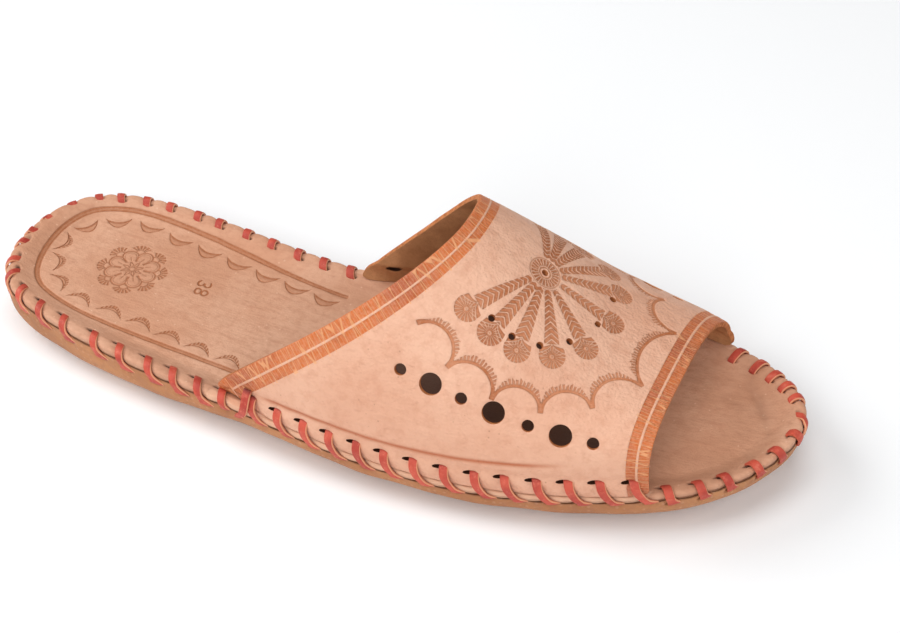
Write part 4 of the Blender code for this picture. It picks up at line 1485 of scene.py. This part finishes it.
def make_sole():
    """The padded sole: wall with slits and puckers, rounded edge, pressed line round the flat underside."""
    outer, inner = half_rows(SOLE_ROWS, (0.0, 1.0), (1.0, 1.0))
    body = Body()
    sides = []
    shares = np.linspace(0.0, 1.0, 27) ** 1.5
    for places in (outer, inner):
        points, out = outline_frame(places)
        x = points[:, :1]
        floor = floor_gap(x)
        top = wall_top(x)
        roll = roll_size(x)
        rise = np.minimum(roll, top - floor - 0.0005)
        straight = top - floor - rise
        arc = math.pi / 4.0 * (roll + rise)
        way = shares[None] * (straight + arc)
        angle = np.clip((way - straight) / arc, 0.0, 1.0) * math.pi / 2.0
        inset = roll * (1.0 - np.cos(angle))
        height = top - np.minimum(way, straight) - rise * np.sin(angle)
        flat_steps = np.array([0.7, 1.4, 2.0, 2.5, 3.0, 3.5, 4.1, 4.8, 5.6]) * MM
        inset = np.concatenate([inset, roll + flat_steps], axis=1)
        height = np.concatenate([height, np.repeat(floor, len(flat_steps), axis=1)], axis=1)
        run = np.broadcast_to(np.interp(places, rim.share, rim.far)[:, None], height.shape)
        down = rim_height(x) - height
        push, dark = wall_marks(run, down / MM)
        groove = near((inset - roll) / MM - 2.75, 0.8)
        wave = 0.30 * ripple(np.stack([x + 0.0 * inset, points[:, 1:] + 0.0 * inset, height], axis=-1), 0.018, 31)
        push = (push + wave * smooth_step(down / 0.004)) * (1.0 - np.clip(inset / roll, 0.0, 1.0) ** 2) * MM
        plan = points[:, None] - out[:, None] * (inset - push)[..., None]
        sides.append([np.concatenate([plan, (height + 0.55 * groove * MM)[..., None]], axis=-1), dark, 0.5 * groove])
    first, last = sides[0], [part[:, ::-1] for part in sides[1]]
    width = first[0].shape[1]
    between = mix(first[0][:, -1:], last[0][:, :1], np.linspace(0.0, 1.0, 25)[None, 1:-1, None])
    between[..., 2] = floor_gap(between[..., 0])
    zeros = np.zeros(between.shape[:2])
    below, dark, stamp = (np.concatenate([a, b, c], axis=1) for a, b, c in zip(first, (between, zeros, zeros), last))
    numbers = fold_ends(body.add(below, dark=dark, stamp=stamp), width)
    body.grid(numbers, flip=True)
    insets = np.array([0.0, 2.0, 6.0, 10.0]) * MM
    plan, inset = ribbed_plan(outer, inner, insets, 4)
    top = np.concatenate([plan, (wall_top(plan[..., 0]) - insole_dip(inset))[..., None]], axis=-1)
    # painted shade: the sole's hidden top under the insole is coloured near black
    lid = body.add(top[:, 1:-1], dark=0.95)
    body.grid(fold_ends(np.concatenate([numbers[:, :1], lid, numbers[:, -1:]], axis=1), len(insets)))
    return body.build("sole_body", [sole_leather()], 60.0)


def wall_marks(run, down):
    """Puckers of the sole's wall, out in mm, and the painted shade of its slits and of its seam, from mm below the
    rim.
    """
    # painted shade along the seam under the insole's edge
    dark = 0.5 * near(np.maximum(down - INSOLE_THICKNESS / MM - 0.1, 0.0), 0.2)
    pinch = np.zeros(run.shape)
    slits = np.zeros(run.shape)
    for _, edge, slit, _, low, tail, inner in STITCHES:
        turn = -1.0 if inner else 1.0
        low = low / MM
        at = mix(edge, slit, np.clip(down / low, 0.0, 1.0))
        pinch = np.maximum(pinch, near(rim_gap(run, at) / MM, 2.0) * smooth_step((low + 3.0 - down) / 3.0))
        away = rim_gap(run, slit) / MM * turn
        long = tail / MM + 1.9
        middle = long / 2.0 - 1.9
        lens = np.clip(1.0 - ((away - middle) / (long / 2.0)) ** 2, 0.0, 1.0)
        slits = np.maximum(slits, soft(0.55 * lens - np.abs(down - low - 0.25), 0.4) * (lens > 0.0))
    push = (0.42 - 0.85 * pinch) * smooth_step((10.0 - down) / 6.0) - 0.8 * slits
    # painted shade: the slits are coloured dark
    return push, np.maximum(dark, 0.92 * slits)


def stitch_route(x, inner, top, low):
    """Offset out of the outline and height over the rim, from inside the hole to inside the sole's slit."""
    roll = float(roll_size(x))
    floor = float(floor_gap(x))
    height = float(rim_height(x))
    rise = min(roll, float(wall_top(x)) - floor - 0.0005)

    def wall_inset(down):
        share = np.clip((floor + rise - (height - down)) / rise, 0.0, 1.0)
        return roll * (1.0 - math.sqrt(1.0 - share**2))

    if top > 0.0:
        stand = [upper_stand_out(x, inner, level) for level in (top, top * 0.6, top * 0.25)]
        route = [
            (stand[0] - 1.6 * MM, top + 0.9 * MM),
            (stand[0] - 0.5 * MM, top + 0.35 * MM),
            (stand[0] + 0.15 * MM, top - 0.5 * MM),
            (stand[1] + 0.55 * MM, top * 0.6),
            (stand[2] + 0.60 * MM, top * 0.25),
            (0.45 * MM, -0.8 * MM),
        ]
    else:
        route = [
            (top - 0.8 * MM, -1.8 * MM - insole_dip(-top)),
            (top - 0.15 * MM, -0.45 * MM - insole_dip(-top)),
            (top + 0.7 * MM, 0.20 * MM - insole_dip(-top)),
            (top * 0.45, 0.35 * MM - insole_dip(-top * 0.45)),
            (-0.45 * MM, 0.05 * MM),
            (0.35 * MM, -1.0 * MM),
        ]
    route += [
        (0.25 * MM - wall_inset(low * 0.72), -low * 0.72),
        (0.10 * MM - wall_inset(low), -low),
        (-1.1 * MM - wall_inset(low), -low - 0.4 * MM),
    ]
    return np.array(route)


def ribbon(body, stitch, lift=0.0):
    """One flat strip of lace from its hole to its slit in the sole."""
    hole, edge, slit, top, low, tail, inner = stitch
    turn = -1.0 if inner else 1.0
    across = np.array([-1.0, -0.92, -0.5, 0.0, 0.5, 0.84, 0.91, 1.0, 0.98, 0.0, -0.96])
    above = np.array([0.5, 0.92, 1.0, 1.05, 1.0, 0.95, 0.90, 0.55, 0.0, 0.0, 0.0])
    raw = np.array([0.2, 0.0, 0.0, 0.0, 0.0, 0.0, 0.9, 0.8, 0.2, 0.0, 0.0])
    x = float(outline(rim.place(edge))[0])
    route = stitch_route(x, inner, top, low)
    far = np.concatenate([[0.0], np.cumsum(np.linalg.norm(np.diff(route, axis=0), axis=1))])
    far /= far[-1]
    curve = spline(far, route)
    runs = spline([0.0, far[-4], far[-2], 1.0], [hole, edge, slit, slit + turn * 0.2 * MM])
    share = np.linspace(0.0, 1.0, 34)
    late = smooth_step((share - far[-4]) / (1.0 - far[-4]))
    grid = np.empty((len(share), len(across), 3))
    for j, side in enumerate(across):
        front = (side + 1.0) / 2.0
        # the back edge dives into the slit first, and the front edge runs on along it
        offset, height = curve(share - late * (1.0 - far[-2]) * front).T
        run = runs(share) + turn * side * STRIP_WIDTH / 2.0 + turn * tail * late**2 * front
        plan, out = outline_frame(rim.place(run))
        slope = np.gradient(np.stack([offset, height], axis=1), axis=0)
        slope /= np.linalg.norm(slope, axis=1)[:, None]
        raised = above[j] * STRIP_THICKNESS * (1.0 - 0.7 * late**4 * front) + lift * np.sin(math.pi * share) ** 2
        reach = offset - slope[:, 1] * raised
        grid[:, j, :2] = plan + out * reach[:, None]
        grid[:, j, 2] = rim_height(plan[:, 0]) + height + slope[:, 0] * raised
    # painted shade: the ends are darker, and their raw edges less light, where the strip goes into its hole and its
    # slit
    ends = smooth_step(1.0 - share / 0.12) + smooth_step((share - 0.93) / 0.07)
    light = 0.9 * raw[None, :] * (1.0 - 0.5 * ends[:, None])
    numbers = body.add(grid, light=light, dark=0.7 * ends[:, None] * (1.0 - raw[None, :]))
    body.grid(np.concatenate([numbers, numbers[:, :1]], axis=1), flip=turn < 0.0)
    for row, flip in ((0, False), (-1, True)):
        face = numbers[row].tolist()
        body.faces.append(face[::-1] if flip != (turn < 0.0) else face)
        body.slots.append(0)


def make_lace():
    """All stitches round the rim as one joined mesh of separate strips."""
    body = Body()
    for stitch in STITCHES:
        ribbon(body, stitch)
    hole, to_edge, to_slit, top, low = (value * MM for value in CROSSING)
    ribbon(body, (hole, hole + to_edge, hole + to_edge + to_slit, top, low, 0.4 * MM, False), 1.1 * MM)
    piece = body.build("rim_lace", [lace_leather()], 55.0)
    shape = bmesh.new()
    shape.from_mesh(piece.data)
    bmesh.ops.recalc_face_normals(shape, faces=shape.faces)
    shape.to_mesh(piece.data)
    shape.free()
    return piece


def make_camera():
    """A long lens above the outer side, a little rolled, as the photograph was taken."""
    azimuth, elevation, roll = (math.radians(angle) for angle in (24.067, 41.356, -0.714))
    back = Vector((math.sin(azimuth) * math.cos(elevation), -math.cos(azimuth) * math.cos(elevation),
                   math.sin(elevation)))
    right = Vector((math.cos(azimuth), math.sin(azimuth), 0.0))
    up = back.cross(right)
    turned_right = right * math.cos(roll) + up * math.sin(roll)
    turned_up = up * math.cos(roll) - right * math.sin(roll)
    data = bpy.data.cameras.new("camera")
    data.sensor_fit = "HORIZONTAL"
    data.sensor_width = 36.0
    data.lens = 81.82
    data.clip_start = 0.01
    camera = bpy.data.objects.new("camera", data)
    turn = Matrix((turned_right, turned_up, back)).transposed()
    camera.matrix_world = Matrix.Translation((0.20472, -0.41109, 0.42835)) @ turn.to_4x4()
    bpy.context.collection.objects.link(camera)
    bpy.context.scene.camera = camera


def make_light(name, place, target, size, power):
    data = bpy.data.lights.new(name, "AREA")
    data.shape = "DISK"
    data.size = size
    data.energy = power
    light = bpy.data.objects.new(name, data)
    light.location = place
    light.rotation_euler = (Vector(target) - Vector(place)).to_track_quat("-Z", "Y").to_euler()
    bpy.context.collection.objects.link(light)


def make_stage():
    """A plain pale floor under soft light from all round, stronger from above and behind on the left."""
    half = 3.0
    mesh = bpy.data.meshes.new("floor")
    mesh.from_pydata([(-half, -half, 0.0), (half, -half, 0.0), (half, half, 0.0), (-half, half, 0.0)], [], [(0, 1, 2, 3)])
    shader = Shader("floor_paper", 0.9, 0.05)
    shader.surface.inputs["Base Color"].default_value = (0.97, 0.98, 0.99, 1.0)
    mesh.materials.append(shader.material)
    floor = bpy.data.objects.new("floor", mesh)
    bpy.context.collection.objects.link(floor)
    world = bpy.data.worlds.new("studio")
    world.use_nodes = True
    world.node_tree.nodes["Background"].inputs["Color"].default_value = (1.0, 1.0, 1.0, 1.0)
    world.node_tree.nodes["Background"].inputs["Strength"].default_value = 0.12
    bpy.context.scene.world = world
    for name, place, power in (
        ("left", (-1.10, 0.00, 0.80), 9.4),
        ("front_left", (-0.70, -0.80, 1.00), 3.8),
        ("front", (0.30, -1.20, 0.80), 8.2),
        ("right", (1.10, 0.00, 0.80), 4.2),
        ("top", (0.00, 0.00, 1.40), 6.2),
    ):
        make_light(name, place, (0.0, 0.0, 0.02), 0.9, power)
    bpy.context.scene.view_settings.view_transform = "Standard"


def main():
    make_camera()
    for piece, node, slot in (
        (make_upper(), "upper", "upper_leather"),
        (make_insole(), "insole", "insole_leather"),
        (make_sole(), "sole", "sole_leather"),
        (make_lace(), "lacing", "lace_leather"),
    ):
        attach(piece, "root")
        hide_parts(node)
    make_stage()


main()
